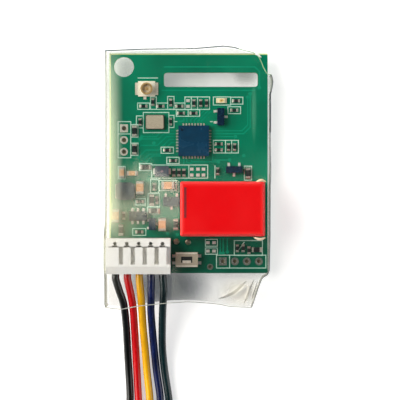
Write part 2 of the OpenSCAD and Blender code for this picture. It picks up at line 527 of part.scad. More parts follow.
module transistor_leads() color("#c6c8c9") for (t = transistors) at(moved(t)) rotate(t[2]) {
    reach = (t[3] < 2.5 ? 0.3 : 0.55) * across(t);
    w = t[4] * across(t) / 2;
    for (p = t[5]) translate([p * along(t), w, 0]) gull(0.4 * along(t), reach);
    for (p = t[6]) translate([p * along(t), -w, 0]) rotate(180) gull(0.4 * along(t), reach);
}
module diode_body() color("#4a5560") at(diode_at) block(2.3, 1.75, 0.1, 1.05);
module diode_ends() color("#dcdcd8") at(diode_at) for (s = [-1, 1]) rotate(s * 90)
    translate([0, -1.15, 0]) rotate(180) gull(1.0, 0.35);
module chip_body(c) at(moved(c)) rotate(c[2])
    block(c[3] * along(c) * (1 - 2 * chip_end), c[4] * across(c) - 0.03, 0.02, c[5] - 0.02);
module chip_ends(c) at(moved(c)) rotate(c[2]) for (s = [-1, 1])
    translate([s * c[3] * along(c) * (1 - chip_end) / 2, 0, 0])
        block(c[3] * along(c) * chip_end, c[4] * across(c), 0, c[5]);
module capacitor_bodies() color("#c99a6a") for (c = capacitors) chip_body(c);
module capacitor_ends() color("#d2d2cc") for (c = capacitors) chip_ends(c);
module resistor_bodies() color("#1e2a2c") for (c = resistors) chip_body(c);
module resistor_ends() color("#d2d2cc") for (c = resistors) chip_ends(c);

circuit_board();
solder_joints();
hole_pads();
heat_shrink_sleeve();
relay_cover();
relay_base();
relay_terminals();
relay_bobbin();
relay_coil();
relay_core();
relay_armature();
relay_card();
relay_contact_springs();
relay_fixed_contacts();
header_shroud();
header_pins();
plug_housing();
plug_contacts();
lead_black();
lead_red();
lead_yellow();
lead_blue();
lead_green();
lead_black_hank();
lead_red_hank();
lead_yellow_hank();
lead_blue_hank();
lead_green_hank();
lead_tips();
lead_tie();
switch_base();
switch_frame();
switch_button();
switch_dome();
switch_terminals();
mcu_body();
mcu_leads();
crystal_base();
crystal_lid();
quartz_blank();
antenna_socket_body();
antenna_socket_shell();
antenna_socket_pin();
led_body();
led_lens();
power_inductor();
inductor_ends();
transistor_bodies();
transistor_leads();
diode_body();
diode_ends();
capacitor_bodies();
capacitor_ends();
resistor_bodies();
resistor_ends();
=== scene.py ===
# %% [markdown]
# # A smart relay module in its clear shrink sleeve
#
# The real object is a thumb-sized control board with a red signal relay, a radio chip, an antenna socket,
# a push button and a five-way plug on coloured leads, all shut in a tube of clear shrink film. The hard
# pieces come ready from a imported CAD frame. This lesson dresses them: it lays the leads, drapes the film,
# prints the board, adds solder, and gives every surface a finish.

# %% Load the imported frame
import math

import bmesh
import bpy
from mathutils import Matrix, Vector, noise


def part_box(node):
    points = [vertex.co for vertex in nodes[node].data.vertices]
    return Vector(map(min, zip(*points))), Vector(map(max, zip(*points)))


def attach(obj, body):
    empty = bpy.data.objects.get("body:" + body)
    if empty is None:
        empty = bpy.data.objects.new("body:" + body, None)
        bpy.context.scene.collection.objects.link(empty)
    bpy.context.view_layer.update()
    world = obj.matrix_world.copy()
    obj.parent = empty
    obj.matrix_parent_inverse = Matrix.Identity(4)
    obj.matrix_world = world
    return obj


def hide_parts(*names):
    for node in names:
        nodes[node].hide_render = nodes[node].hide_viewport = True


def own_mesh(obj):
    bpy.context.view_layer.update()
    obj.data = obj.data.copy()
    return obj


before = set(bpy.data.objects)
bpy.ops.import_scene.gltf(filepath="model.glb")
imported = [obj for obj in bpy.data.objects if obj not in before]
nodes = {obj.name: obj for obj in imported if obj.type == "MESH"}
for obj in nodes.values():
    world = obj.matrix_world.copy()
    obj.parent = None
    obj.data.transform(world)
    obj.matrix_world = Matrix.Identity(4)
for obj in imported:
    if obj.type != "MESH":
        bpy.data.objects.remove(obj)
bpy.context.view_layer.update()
MM = 0.001


def in_mm(lengths, digits=2):
    """Lengths in metres as rounded millimetres, for what is printed."""
    return [round(x / MM, digits) for x in lengths]


# %% [markdown]
# ## The camera
#
# The photograph looks straight down on the board from about an arm's length, with the lead end at the
# bottom. A wide lens close by would show the sides of the tall parts, so a long lens 300 mm above the
# board gives that nearly flat view: 5.86 pixels to a millimetre of board. The board's own box is the
# ruler for everything that follows: u and v are places in mm from its lower left corner, across the board
# and along it.

# %% Place the camera above the board
SENSOR_WIDTH, LENS, CAMERA_ABOVE = 36, 158.2, 0.300
board_low, board_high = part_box("circuit_board")


def on_board(u, v, z=0.0):
    """A place in mm from the board's lower left corner and above its component side, in metres."""
    return Vector((board_low.x + u * MM, board_low.y + v * MM, board_high.z + z * MM))


def place_object(name, data):
    """A new object in the scene that shows this data."""
    made = bpy.data.objects.new(name, data)
    bpy.context.scene.collection.objects.link(made)
    return made


camera = place_object("camera", bpy.data.cameras.new("camera"))
camera.data.sensor_width = SENSOR_WIDTH
camera.data.lens = LENS
camera.location = (0.0021, -0.00392, board_high.z + CAMERA_ABOVE)
bpy.context.scene.camera = camera
print("board, mm:", in_mm(board_high - board_low))

# %% [markdown]
# ## Finishes: how a material is written here
#
# A finish is a small tree of nodes. It could be put together by hand in the shader editor, but code shows
# every number and can be used again. A few helpers keep the trees short: one turns a screen colour into
# the linear numbers that Blender works in, one adds a node with its settings and links, and two open and
# close a material. Patterns use object coordinates, which are metres here, so a pattern's scale is 1 over
# a real size in metres.

# %% Colour and node helpers
finishes = {}


def linear(code):
    """An sRGB hex colour as linear RGBA."""
    parts = [int(code[i:i + 2], 16) / 255 for i in (1, 3, 5)]
    return [c / 12.92 if c <= 0.04045 else ((c + 0.055) / 1.055) ** 2.4 for c in parts] + [1.0]


def grey(level):
    """A linear grey as RGBA."""
    return [level, level, level, 1.0]


def add(tree, kind, links=None, give=0, stops=None, **settings):
    """Adds a node and returns one of its outputs, the first one unless give names it.

    links gives each input another node's output, a number or a hex colour. stops fills a colour ramp.
    """
    made = tree.nodes.new("ShaderNode" + kind)
    for key, value in settings.items():
        setattr(made, key, value)
    if stops:
        ramp = made.color_ramp
        while len(ramp.elements) < len(stops):
            ramp.elements.new(0.5)
        for element, (place, tone) in zip(ramp.elements, stops):
            element.position = place
            element.color = linear(tone) if isinstance(tone, str) else grey(tone)
    for key, value in (links or {}).items():
        if isinstance(value, bpy.types.NodeSocket):
            tree.links.new(value, made.inputs[key])
        else:
            made.inputs[key].default_value = linear(value) if isinstance(value, str) else value
    return made.outputs[give]


def start_finish(name):
    """Opens a material that is kept under its name, and gives its empty tree."""
    material = bpy.data.materials.new(name)
    material.use_nodes = True
    material.node_tree.nodes.clear()
    finishes[name] = material
    return material.node_tree


def end_finish(tree, shader, kind="OutputMaterial"):
    """Closes a tree: the shader becomes its surface."""
    tree.links.new(shader, tree.nodes.new("ShaderNode" + kind).inputs["Surface"])


def per_mm(size):
    """The scale of a pattern whose features are this many millimetres across."""
    return 1 / (size * MM)


print("screen grey 50 % as a linear number:", round(linear("#808080")[0], 3))

# %% [markdown]
# ## Moulded and fired surfaces
#
# Most small parts are moulded plastic, fired ceramic or cured resin. Seen close they are not one flat
# colour: the filler clouds the pigment, the tool leaves a fine orange-peel, and gloss drifts a little
# from place to place. Each could have a tree of its own, but one recipe makes them all: noise clouds the
# colour between two tones, moves the roughness and lifts a small bump.

# %% Recipe for moulded, fired and cured parts
GLOSS_DRIFT = 0.07


def moulded(name, light, dark, rough, cloud, peel, depth, ior=1.5, coat=0.0):
    """cloud and peel are the sizes of the colour clouds and of the surface grain, depth its height, in mm."""
    tree = start_finish(name)
    place = add(tree, "TexCoord", give="Object")
    clouds = add(tree, "TexNoise", {"Vector": place, "Scale": per_mm(cloud), "Detail": 3.0, "Roughness": 0.6})
    tone = add(tree, "ValToRGB", {"Fac": clouds}, stops=[(0.32, dark), (0.68, light)])
    gloss = add(tree, "MapRange", {
        "Value": clouds, "To Min": rough - GLOSS_DRIFT, "To Max": rough + GLOSS_DRIFT})
    grain = add(tree, "TexNoise", {"Vector": place, "Scale": per_mm(peel), "Detail": 2.0})
    lift = add(tree, "Bump", {"Height": grain, "Distance": depth * MM, "Strength": 0.6})
    end_finish(tree, add(tree, "BsdfPrincipled", {
        "Base Color": tone, "Roughness": gloss, "Normal": lift, "IOR": ior, "Coat Weight": coat}))


# glass-filled PBT, black: a matt grey-black that hides flow lines
moulded("black_filled_pbt", "#2A2B2C", "#18191A", 0.5, 1.2, 0.2, 0.006)
# nylon 66 as moulded, for plugs and headers: off-white, slightly waxy
moulded("white_nylon_connector", "#FCFBF8", "#F6F4EE", 0.42, 2.5, 0.3, 0.004, 1.53)
# natural nylon of a cable tie: milky, a little greyer where it is thin
moulded("natural_nylon_tie", "#E9E7DF", "#D9D6CC", 0.45, 1.5, 0.4, 0.01, 1.53)
# liquid-crystal polymer, ivory, for bobbins and the relay's card: smooth, with pale flow clouds
moulded("ivory_lcp", "#E4DCC8", "#D3C9B2", 0.48, 1.0, 0.25, 0.006)
# liquid-crystal polymer, pale cream, around the antenna socket
moulded("cream_lcp_socket", "#FCF8E6", "#F4ECD4", 0.4, 0.8, 0.2, 0.004)
# epoxy moulding compound of chips, transistors and the diode: blue-black to grey, with a dull shine
moulded("chip_moulding_compound", "#013F5E", "#002E46", 0.26, 3.5, 0.12, 0.002, 1.55)
moulded("transistor_moulding_compound", "#002C46", "#001C30", 0.26, 0.6, 0.12, 0.004, 1.55)
moulded("diode_moulding_compound", "#4E5A66", "#3A4650", 0.46, 0.6, 0.12, 0.006, 1.55)
# pressed ferrite of the inductor: dense grey with a fine tooth
moulded("pressed_ferrite", "#4A565C", "#343F44", 0.3, 0.9, 0.15, 0.01, 1.6)
# barium titanate of chip capacitors: tan, fired smooth
moulded("fired_capacitor_ceramic", "#D9AC7C", "#BC8A5C", 0.4, 0.5, 0.15, 0.004, 1.6)
# glazed film of chip resistors: near black with a green cast, glassy
moulded("glazed_resistor_film", "#22302F", "#141D1E", 0.3, 0.4, 0.12, 0.003, 1.55)
# alumina package of the crystal: dark fired ceramic
moulded("dark_alumina", "#4A443C", "#37322C", 0.5, 0.5, 0.15, 0.006, 1.7)
# rubbery button cap: black and dull, so that the window looks deep
moulded("black_button_cap", "#16191C", "#0B0D0F", 0.55, 0.5, 0.15, 0.008)
# white laminate base of the lamp: cream, slightly dull
moulded("lamp_base_laminate", "#F0E7CC", "#DDD0AC", 0.45, 0.5, 0.15, 0.004)
print("moulded finishes:", len(finishes))

# %% [markdown]
# ## The relay's cover
#
# The cover is red PBT, a box with a thin wall. Light that enters its side walls comes out again along the
# rim, so the top looks paler toward its edges. Real scattering would give that slowly and with noise. The
# distance from the middle of the cover, taken along both sides, finds the rim at once, and a colour ramp
# paints it.

# %% Red cover with a pale rim
RIM_FROM, RIM_TO = 1.0 * MM, 0.3 * MM
tree = start_finish("red_pbt_relay_cover")
place = add(tree, "TexCoord", give="Object")
cover_low, cover_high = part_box("relay_cover")
half = (cover_high - cover_low) / 2
away = add(tree, "VectorMath", {0: place, 1: cover_low + half}, operation="SUBTRACT")
away = add(tree, "VectorMath", {0: away}, operation="ABSOLUTE")
near = []
for axis, reach in (("X", half.x), ("Y", half.y)):
    side = add(tree, "SeparateXYZ", {"Vector": away}, give=axis)
    near.append(add(tree, "MapRange", {
        "Value": side, "From Min": reach - RIM_FROM, "From Max": reach - RIM_TO},
        interpolation_type="SMOOTHSTEP"))
rim = add(tree, "Math", {0: near[0], 1: near[1]}, operation="MAXIMUM")
clouds = add(tree, "TexNoise", {"Vector": place, "Scale": per_mm(5.0), "Detail": 2.0})
mixed = add(tree, "Math", {0: clouds, 1: 0.25, 2: rim}, operation="MULTIPLY_ADD")
tone = add(tree, "ValToRGB", {"Fac": mixed}, stops=[(0.05, "#F6000C"), (1.0, "#FF2C2C")])
gloss = add(tree, "MapRange", {"Value": clouds, "To Min": 0.2, "To Max": 0.3})
end_finish(tree, add(tree, "BsdfPrincipled", {"Base Color": tone, "Roughness": gloss, "IOR": 1.5}))
print("relay cover, mm:", in_mm(2 * half))

# %% [markdown]
# ## Plated metal
#
# Leads, pins and shells are sheet metal with a plated skin: tin, nickel or gold. What tells them apart is
# colour and how sharp the reflections are. Reflow leaves tin slightly clouded, rolled sheet has faint
# streaks. Streaks could be drawn with an anisotropic shader, but at this size they only break up the
# shine. So a noise stretched along one axis moves the roughness, and the colour a little.

# %% Recipe for plated and bare metal


def plated(name, light, dark, rough, streak, stretch=(1, 1, 1)):
    """streak is the size of the drift in the shine in mm, stretch squeezes it along an axis."""
    tree = start_finish(name)
    place = add(tree, "TexCoord", give="Object")
    pulled = add(tree, "Mapping", {"Vector": place, "Scale": stretch})
    drift = add(tree, "TexNoise", {"Vector": pulled, "Scale": per_mm(streak), "Detail": 3.0})
    tone = add(tree, "ValToRGB", {"Fac": drift}, stops=[(0.3, dark), (0.7, light)])
    gloss = add(tree, "MapRange", {"Value": drift, "To Min": rough - 0.08, "To Max": rough + 0.12})
    lift = add(tree, "Bump", {"Height": drift, "Distance": 0.004 * MM, "Strength": 0.5})
    end_finish(tree, add(tree, "BsdfPrincipled", {
        "Base Color": tone, "Metallic": 1.0, "Roughness": gloss, "Normal": lift}))


# matt tin on copper leads: pale, softly clouded
plated("matt_tin_plate", "#ECEAE2", "#D6D5CE", 0.58, 0.25)
# tin on the ends of chips and on the fine leads of the square chip: thin, rough, greyer
plated("dipped_tin_ends", "#D8D5C9", "#B2AFA4", 0.54, 0.15)
# reflowed solder: smooth and bright, with a warm cast from the flux on it
plated("reflowed_solder", "#E4DEC8", "#C2BBA4", 0.3, 0.4)
# nickel silver sheet of the button frame and crystal lid: warm grey, rolled
plated("rolled_nickel_silver", "#DCD2BC", "#C4B8A2", 0.56, 0.3, (1, 8, 1))
# the same sheet where it is bent: paler, a painted highlight where the bends catch the light
plated("nickel_silver_bend_highlight", "#FFFAF0", "#F0E8DA", 0.66, 0.3, (8, 1, 1))
# phosphor bronze spring: warm and bright
plated("phosphor_bronze", "#CFA566", "#B58A4C", 0.28, 0.3, (8, 1, 1))
# soft iron, bright drawn: cool grey
plated("bright_soft_iron", "#A9ADB0", "#8C9194", 0.34, 0.3, (1, 6, 1))
# stainless dome: the sharpest mirror here
plated("spring_steel_dome", "#D3D5D5", "#B9BCBD", 0.2, 0.2)
print("with metal:", len(finishes))

# %% [markdown]
# ## The gold ring
#
# The antenna socket's ring is phosphor bronze with a flash of gold. Its tabs are pale, because solder has
# wetted them. The ring and its tabs are one solid, so they can't have a finish each. The distance from
# the middle of the ring's upper rim tells them apart.

# %% Gold ring with pale tabs
GOLD_ENDS, WETTED_FROM = 1.2 * MM, 1.4 * MM
tree = start_finish("flash_gold_plate")
place = add(tree, "TexCoord", give="Object")
ring_low, ring_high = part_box("antenna_socket_shell")
ring_at = Vector(((ring_low.x + ring_high.x) / 2, (ring_low.y + ring_high.y) / 2, ring_high.z))
away = add(tree, "VectorMath", {0: place, 1: ring_at}, give="Value", operation="DISTANCE")
wetted = add(tree, "MapRange", {"Value": away, "From Min": GOLD_ENDS, "From Max": WETTED_FROM})
tone = add(tree, "ValToRGB", {"Fac": wetted}, stops=[(0.0, "#D4B47E"), (1.0, "#FBF4E2")])
clouds = add(tree, "TexNoise", {"Vector": place, "Scale": per_mm(0.3), "Detail": 3.0})
gloss = add(tree, "MapRange", {"Value": clouds, "To Min": 0.42, "To Max": 0.6})
end_finish(tree, add(tree, "BsdfPrincipled", {"Base Color": tone, "Metallic": 1.0, "Roughness": gloss}))
print("gold ring, mm across:", round((ring_high.y - ring_low.y) / MM, 2))

# %% [markdown]
# ## The open pads
#
# Hot air leaves a flat skin of solder on the pads round the open holes. The row of three is bright, and
# the row of four at the lead end is darker. All pads are one node, so the place along the board
# chooses the tone.

# %% Levelled solder on the open pads
DARK_BELOW, BRIGHT_ABOVE = 8 * MM, 14 * MM
tree = start_finish("levelled_solder_pads")
place = add(tree, "TexCoord", give="Object")
along = add(tree, "SeparateXYZ", {"Vector": place}, give="Y")
pale_share = add(tree, "MapRange", {"Value": along, "From Min": board_low.y + DARK_BELOW,
                               "From Max": board_low.y + BRIGHT_ABOVE, "To Max": 0.7})
clouds = add(tree, "TexNoise", {"Vector": place, "Scale": per_mm(0.3), "Detail": 3.0})
mixed = add(tree, "Math", {0: clouds, 1: 0.3, 2: pale_share}, operation="MULTIPLY_ADD")
tone = add(tree, "ValToRGB", {"Fac": mixed}, stops=[(0.0, "#747A72"), (0.3, "#8E938A"), (1.0, "#F4F1E2")])
gloss = add(tree, "MapRange", {"Value": clouds, "To Min": 0.48, "To Max": 0.66})
end_finish(tree, add(tree, "BsdfPrincipled", {"Base Color": tone, "Metallic": 1.0, "Roughness": gloss}))

# %% [markdown]
# ## The wound coil
#
# The relay's coil is enamelled copper wire, wound in close turns. The wire is far too fine to model turn
# by turn, so a band pattern along the coil's axis draws the turns. They are coarser here than in the real
# coil, so that they still show.

# %% Enamelled copper winding
TURN_APART = 0.12
tree = start_finish("enamelled_copper_winding")
place = add(tree, "TexCoord", give="Object")
# a band texture repeats every 2 pi / 20 units at scale 1
bands = per_mm(TURN_APART) * math.tau / 20
turns = add(tree, "TexWave", {"Vector": place, "Scale": bands, "Distortion": 0.4},
            give="Fac", bands_direction="X")
tone = add(tree, "ValToRGB", {"Fac": turns}, stops=[(0.2, "#7A3A16"), (0.8, "#C9743A")])
lift = add(tree, "Bump", {"Height": turns, "Distance": 0.03 * MM})
end_finish(tree, add(tree, "BsdfPrincipled", {
    "Base Color": tone, "Metallic": 0.8, "Roughness": 0.3, "Normal": lift}))
print("turns along the coil, mm apart:", TURN_APART)

# %% [markdown]
# ## The leads
#
# Five PVC leads, 1.3 mm thick, leave the plug, drop from pin height to the table and run out of the
# picture. The photograph shows about 21 mm of them. The rest of the 100 mm is folded into a flat hank
# just outside the view, held by a tie. A simulated rope would fall a little differently each time, so
# each lead is one curve with a round bevel: a curve keeps its thickness, and its length can be measured.
# The route repeats the CAD route.

# %% The route of a lead
LEAD_D = 1.3
PIN_FIRST, PIN_PITCH = 1.15, 2.0
plug_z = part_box("header_pins")[1].z / MM - 0.25
floor_z = LEAD_D / 2 + 0.05
# the stops of the way along the board, and the share of the drop to the floor at each
lead_v = [0.3, -0.35, -1.0, -3.0, -4.6, -6.3, -9.5, -13.1, -17.0, -21.3, -23.7, -24.35, -25.0]
lead_fall = [0, 0, 0, 0.04, 0.12, 0.26, 0.54, 0.8, 0.95, 1, 1, 1, 1]
# from the fourth stop on: where the middle lead lies across the board, and the gaps between neighbours
middle_u = [5.35, 5.48, 5.58, 5.75, 6.05, 6.35, 6.8, 6.75, 6.75, 6.75]
between = [[0.5, 0.25, 0.15, 0.07, 0.08, 0.08, 0.1, 0.45, 0.45, 0.45],
           [0.45, 0.28, 0.18, 0.18, 0.32, 0.42, 0.65, 0.45, 0.45, 0.45],
           [0.5, 0.37, 0.22, 0.25, 0.25, 0.35, 0.5, 0.45, 0.45, 0.45],
           [0.85, 0.75, 0.7, 0.4, 0.12, 0.1, 0.15, 0.45, 0.45, 0.45]]
# the hank's folds, its tied waist and the lead's end along the board, then the radius of its bends,
# the height of a layer and how far the tie lifts the lowest run
near_v, far_v, waist_v, end_v = -26.3, -43.8, -35.8, -37.2
bend_r, layer, lift_z = 3 * LEAD_D, LEAD_D + 0.45, 0.5
waist_z = floor_z + lift_z + 2 * layer + 0.05
TIE_HALF, TUCK = 1.6, 7


def lead_u(i, k):
    """How far from the board's left edge lead i is at stop k of its way."""
    if k < 3:
        return PIN_FIRST + PIN_PITCH * i + (0.03 if k == 2 else 0)
    steps = [LEAD_D + row[k - 3] for row in between]
    return middle_u[k - 3] - sum(steps[i:2]) + sum(steps[2:i])


def ease(s):
    """A soft start and stop between 0 and 1."""
    return (1 - math.cos(math.pi * s)) / 2


def hump(v):
    """How far the tie lifts the lowest run: 1 over the tie, down to 0 within 4 mm of it."""
    away = abs(v - waist_v) - TIE_HALF
    if away < 0:
        return 1
    return (1 + math.cos(math.radians(45 * away))) / 2 if away < 4 else 0


def smooth_line(points, steps):
    """A smooth curve that passes through every point."""
    made = []
    for i in range(len(points) - 1):
        a, b, c, d = (Vector(points[min(max(j, 0), len(points) - 1)]) for j in (i - 1, i, i + 1, i + 2))
        for k in range(steps):
            t = k / steps
            made.append(0.5 * (2 * b + (c - a) * t + (2 * a - 5 * b + 4 * c - d) * t ** 2
                               + (3 * b - a - 3 * c + d) * t ** 3))
    return made + [Vector(points[-1])]


def hank_line():
    """Run out, far fold, back over the waist, near fold, and the end: (v, height) in mm."""
    turn = [math.radians(15 * k) for k in range(13)]
    line = []
    for k in range(1, 15):
        v = lead_v[-1] + (far_v - lead_v[-1]) * k / 15
        line.append((v, floor_z + lift_z * hump(v)))
    line += [(far_v - bend_r * math.sin(a), floor_z + bend_r - bend_r * math.cos(a)) for a in turn]
    low, high = floor_z + 2 * bend_r, floor_z + layer + 2 * bend_r
    line += [(far_v + (waist_v - far_v) * k / 9, low + (waist_z - low) * ease(k / 9)) for k in range(1, 10)]
    line += [(waist_v + (near_v - waist_v) * k / 9, waist_z + (high - waist_z) * ease(k / 9))
             for k in range(1, 10)]
    line += [(near_v + bend_r * math.sin(a), high - bend_r + bend_r * math.cos(a)) for a in turn[1:]]
    line += [(near_v - TUCK * k / 6, floor_z + layer + lift_z * ease(k / 6)) for k in range(1, 7)]
    line += [(near_v - TUCK + (end_v - near_v + TUCK) * k / 4, floor_z + layer + lift_z) for k in range(1, 5)]
    return line


def lead_route(i):
    """The whole way of lead i, in metres."""
    drop = floor_z - plug_z
    stops = [(lead_u(i, k), lead_v[k], plug_z + drop * lead_fall[k]) for k in range(len(lead_v))]
    lane = middle_u[-1] + (i - 2) * layer
    way = smooth_line(stops, 4) + [Vector((lane, v, z)) for v, z in hank_line()]
    return [Vector((board_low.x + p.x * MM, board_low.y + p.y * MM, p.z * MM)) for p in way]


way = lead_route(0)
print("lead length, mm:", in_mm([sum((b - a).length for a, b in zip(way, way[1:]))], 1), "points:", len(way))

# %% [markdown]
# ## PVC insulation
#
# The insulation is PVC, pushed warm through a die over the strands. It has a soft shine, fine draw lines
# along its length that are too slight to see at this size, and dusty, slightly paler patches from
# handling. One recipe takes each lead's colour. The dark blue and the dark green lead are almost black in
# the middle and show their colour where light grazes them, so their two tones lie further apart.

# %% Five PVC colours
LEADS = [("black", "#050505", "#010101"), ("red", "#CE020C", "#B00008"), ("yellow", "#F0B40A", "#D69A06"),
         ("blue", "#061A52", "#010826"), ("green", "#04262A", "#011418")]
for shade, light, dark in LEADS:
    tree = start_finish(f"pvc_{shade}")
    place = add(tree, "TexCoord", give="Object")
    drawn = add(tree, "Mapping", {"Vector": place, "Scale": (1, 0.15, 1)})
    cloud = add(tree, "TexNoise", {"Vector": drawn, "Scale": per_mm(0.7), "Detail": 4.0})
    tone = add(tree, "ValToRGB", {"Fac": cloud}, stops=[(0.3, dark), (0.72, light)])
    gloss = add(tree, "MapRange", {"Value": cloud, "To Min": 0.2, "To Max": 0.32})
    lift = add(tree, "Bump", {"Height": cloud, "Distance": 0.008 * MM, "Strength": 0.6})
    end_finish(tree, add(tree, "BsdfPrincipled", {
        "Base Color": tone, "Roughness": gloss, "IOR": 1.53, "Normal": lift}))
print("PVC colours:", [shade for shade, *_ in LEADS])

# %% [markdown]
# ## Tinned ends
#
# At its free end each lead is stripped for 4 mm, and the strands are twisted and dipped in solder. Seven
# strands, six turned round one, give the rope-like look; a cylinder would look like a solid pin. Leads
# and strands are curves made by one helper, which also serves for the film's edges.

# %% Leads, strands and the cord facts
STRAND_BUNDLE, STRAND_D = 0.58 * MM, 0.19 * MM
# a tapered line is this share of its width at its ends
TIP = 0.2


def round_curve(name, lines, width, finish, body, taper=False):
    """A curve of round lines that rides on a body; with taper each line thins toward its ends."""
    shape = bpy.data.curves.new(name, "CURVE")
    shape.dimensions = "3D"
    shape.bevel_depth = width / 2
    shape.bevel_resolution = 5
    shape.use_fill_caps = True
    for line in lines:
        spline = shape.splines.new("POLY")
        spline.points.add(len(line) - 1)
        for k, (point, place) in enumerate(zip(spline.points, line)):
            point.co = (*place, 1)
            if taper:
                point.radius = TIP + (1 - TIP) * math.sin(math.pi * k / (len(line) - 1))
        spline.use_smooth = True
    shape.materials.append(finishes[finish])
    piece = place_object(name, shape)
    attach(piece, body)
    return piece


def strands(centre, length, width):
    """Six strands twisted round one, along -Y."""
    thin = width / 3
    lines = [[centre + Vector((0, -length * t / 12, 0)) for t in range(13)]]
    for s in range(6):
        turn = [math.radians(60 * s + 30 * t) for t in range(13)]
        lines.append([centre + Vector((thin * math.cos(a), -length * t / 12, thin * math.sin(a)))
                      for t, a in enumerate(turn)])
    return lines


tip_low, tip_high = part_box("lead_tips")
for i, (shade, *_) in enumerate(LEADS):
    route = lead_route(i)
    lead = round_curve(f"lead_{shade}_wire", [route], LEAD_D * MM, f"pvc_{shade}", "plug")
    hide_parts(f"lead_{shade}", f"lead_{shade}_hank")
    twist = strands(route[-1], tip_high.y - tip_low.y, STRAND_BUNDLE)
    end = round_curve(f"lead_{shade}_strands", twist, STRAND_D, "reflowed_solder", "plug")
    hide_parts("lead_tips")
print("leads:", len(LEADS), "tinned for, mm:", in_mm([tip_high.y - tip_low.y]))

# %% [markdown]
# ## The shrink film
#
# The sleeve is thin clear film, shrunk until it hangs like a tent from its two high points, the relay and
# the connector. It stands open at both ends, its upper right corner is drawn back so that the board's
# corner peeps out, and at the lead end it runs on past the board, narrows and wrinkles. A cloth
# simulation would need pins along every edge to hold these shapes. A formula does it, like a map of
# hills: the film lies at the height of its sides and swells to each high point, steeper the nearer it
# comes.

# %% How high the film lies
relay_low, relay_high = (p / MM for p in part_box("relay_cover"))
plug_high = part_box("plug_housing")[1] / MM
bx, by = (board_low / MM).xy
bz = (board_high / MM).z
# the left and right edge of the flattened tube and its width, in board mm
FILM_LEFT, FILM_RIGHT, FILM_WIDE = -0.7, 27.4, 28.1
# heights of the film's sides above the board, along the board, and how far over a part's top the film lies
SIDE = [(-6.0, 0.9), (0.0, 1.5), (33.0, 1.5), (37.5, 0.3), (40.0, 0.3)]
OVER, STEEPER = 0.3, 1.6
# the high points with a little room, and how far each hill reaches to the left, below, to the right and above
RELAY_BOX = (relay_low.x - bx - 0.1, relay_low.y - by - 0.1, relay_high.x - bx + 0.1, relay_high.y - by + 0.1)
RELAY_REACH = (RELAY_BOX[0] + 0.95, 11.0, 30.0, 7.0)
PLUG_BOX = (FILM_LEFT, -6.0, plug_high.x - bx + 0.2, RELAY_BOX[1])
PLUG_REACH = (1.0, 1.0, 9.0, 6.0)


def along_line(stops, at):
    """Straight lines between (at, value) stops."""
    for (a, x), (b, y) in zip(stops, stops[1:]):
        if at <= b:
            return x + (y - x) * max(0.0, at - a) / (b - a)
    return stops[-1][1]


def swell(u, v, box, reach):
    """1 over the box, and down to 0 at its reach."""
    across = max(0, (box[0] - u) / reach[0], (u - box[2]) / reach[2])
    along = max(0, (box[1] - v) / reach[1], (v - box[3]) / reach[3])
    return (1 - min(1, math.hypot(across, along))) ** STEEPER


def tent(u, v):
    """Height of the film over the floor in mm."""
    side = along_line(SIDE, v)
    relay, plug = swell(u, v, RELAY_BOX, RELAY_REACH), swell(u, v, PLUG_BOX, PLUG_REACH)
    # the plug lifts what the relay has left, so that the two hills join without a fold
    hills = (relay_high.z - bz + OVER - side) * relay + (plug_high.z - bz + OVER - side) * plug * (1 - relay)
    return bz + side + hills


print("film over the relay, mm:", round(tent(19, 11), 2), "over bare board:", round(tent(5, 31), 2))

# %% [markdown]
# ## Wrinkles and cut ends
#
# Shrinking leaves long soft waves and a few sharp creases, most of them at the lead end and at the
# drawn-back corner. They could be sculpted by hand, but written as numbers they can be moved. Each crease
# is a rounded ridge between two points, and the waves are noise. The cut lines were read off the
# photograph.

# %% Creases and edges of the film
WAVE_HEIGHT, CREASE_ENDS = 0.05, 0.35
# each crease: from and to in board mm, width and height
CREASES = [((18.6, -4.3), (21.2, -3.7), 0.5, 0.5), ((21.2, -3.7), (23.4, -2.0), 0.45, 0.7),
           ((23.4, -5.1), (23.9, -1.8), 0.3, 0.55), ((24.3, -5.0), (25.0, -1.4), 0.25, 0.45),
           ((26.6, 35.0), (24.4, 37.2), 0.3, 0.12), ((17.0, 36.6), (20.0, 34.4), 1.3, 0.16),
           ((25.0, 33.0), (24.8, 23.0), 0.55, 0.11), ((24.9, 15.95), (26.4, 15.9), 0.3, 0.3),
           ((24.6, 5.9), (26.3, 5.9), 0.3, 0.3)]
# where the film ends, across the board: at the antenna end and at the lead end
HEAD = [(FILM_LEFT, 37.95), (5.9, 38.2), (14.6, 38.3), (19.7, 38.72), (21.6, 38.5), (23.1, 38.05),
        (25.0, 37.6), (25.7, 37.2), (26.0, 36.7), (26.4, 35.8), (26.7, 35.0), (FILM_RIGHT, 33.8)]
TAIL = [(FILM_LEFT, -5.6), (0.3, -5.75), (2.0, -5.85), (3.5, -5.6), (5.5, -5.3), (7.8, -5.1), (11.2, -4.8),
        (14.6, -4.7), (16.6, -4.8), (19.4, -5.05), (21.6, -5.3), (23.5, -5.65), (FILM_RIGHT, -5.8)]
# the left and right edge of the tube, along the board; the left one leaves room for the plug to slide out
LEFT = [(-6.0, -0.25), (-5.1, -0.57), (-0.7, -0.6), (-0.1, -0.66), (1.0, -0.7), (40.0, -0.7)]
RIGHT = [(-6.0, 24.2), (-5.1, 24.5), (-3.75, 24.95), (-2.56, 25.3), (-1.37, 25.75), (-0.68, 26.1),
         (-0.2, 26.9), (0.6, 27.2), (3.0, 27.2), (15.0, 27.25), (18.0, 27.4), (30.5, 27.4), (31.6, 27.7),
         (32.6, 27.85), (33.4, 27.7), (34.2, 27.4), (40.0, 27.4)]
# how wide the left side turns down, along the board: wide beside the bare board, tight beside the connector
LEFT_ROUND = [(-6.0, 0.4), (6.4, 0.4), (9.1, 2.6), (33.0, 2.6), (37.5, 0.4), (40.0, 0.4)]
RIGHT_ROUND, UNDER_ROUND = 0.5, 0.4


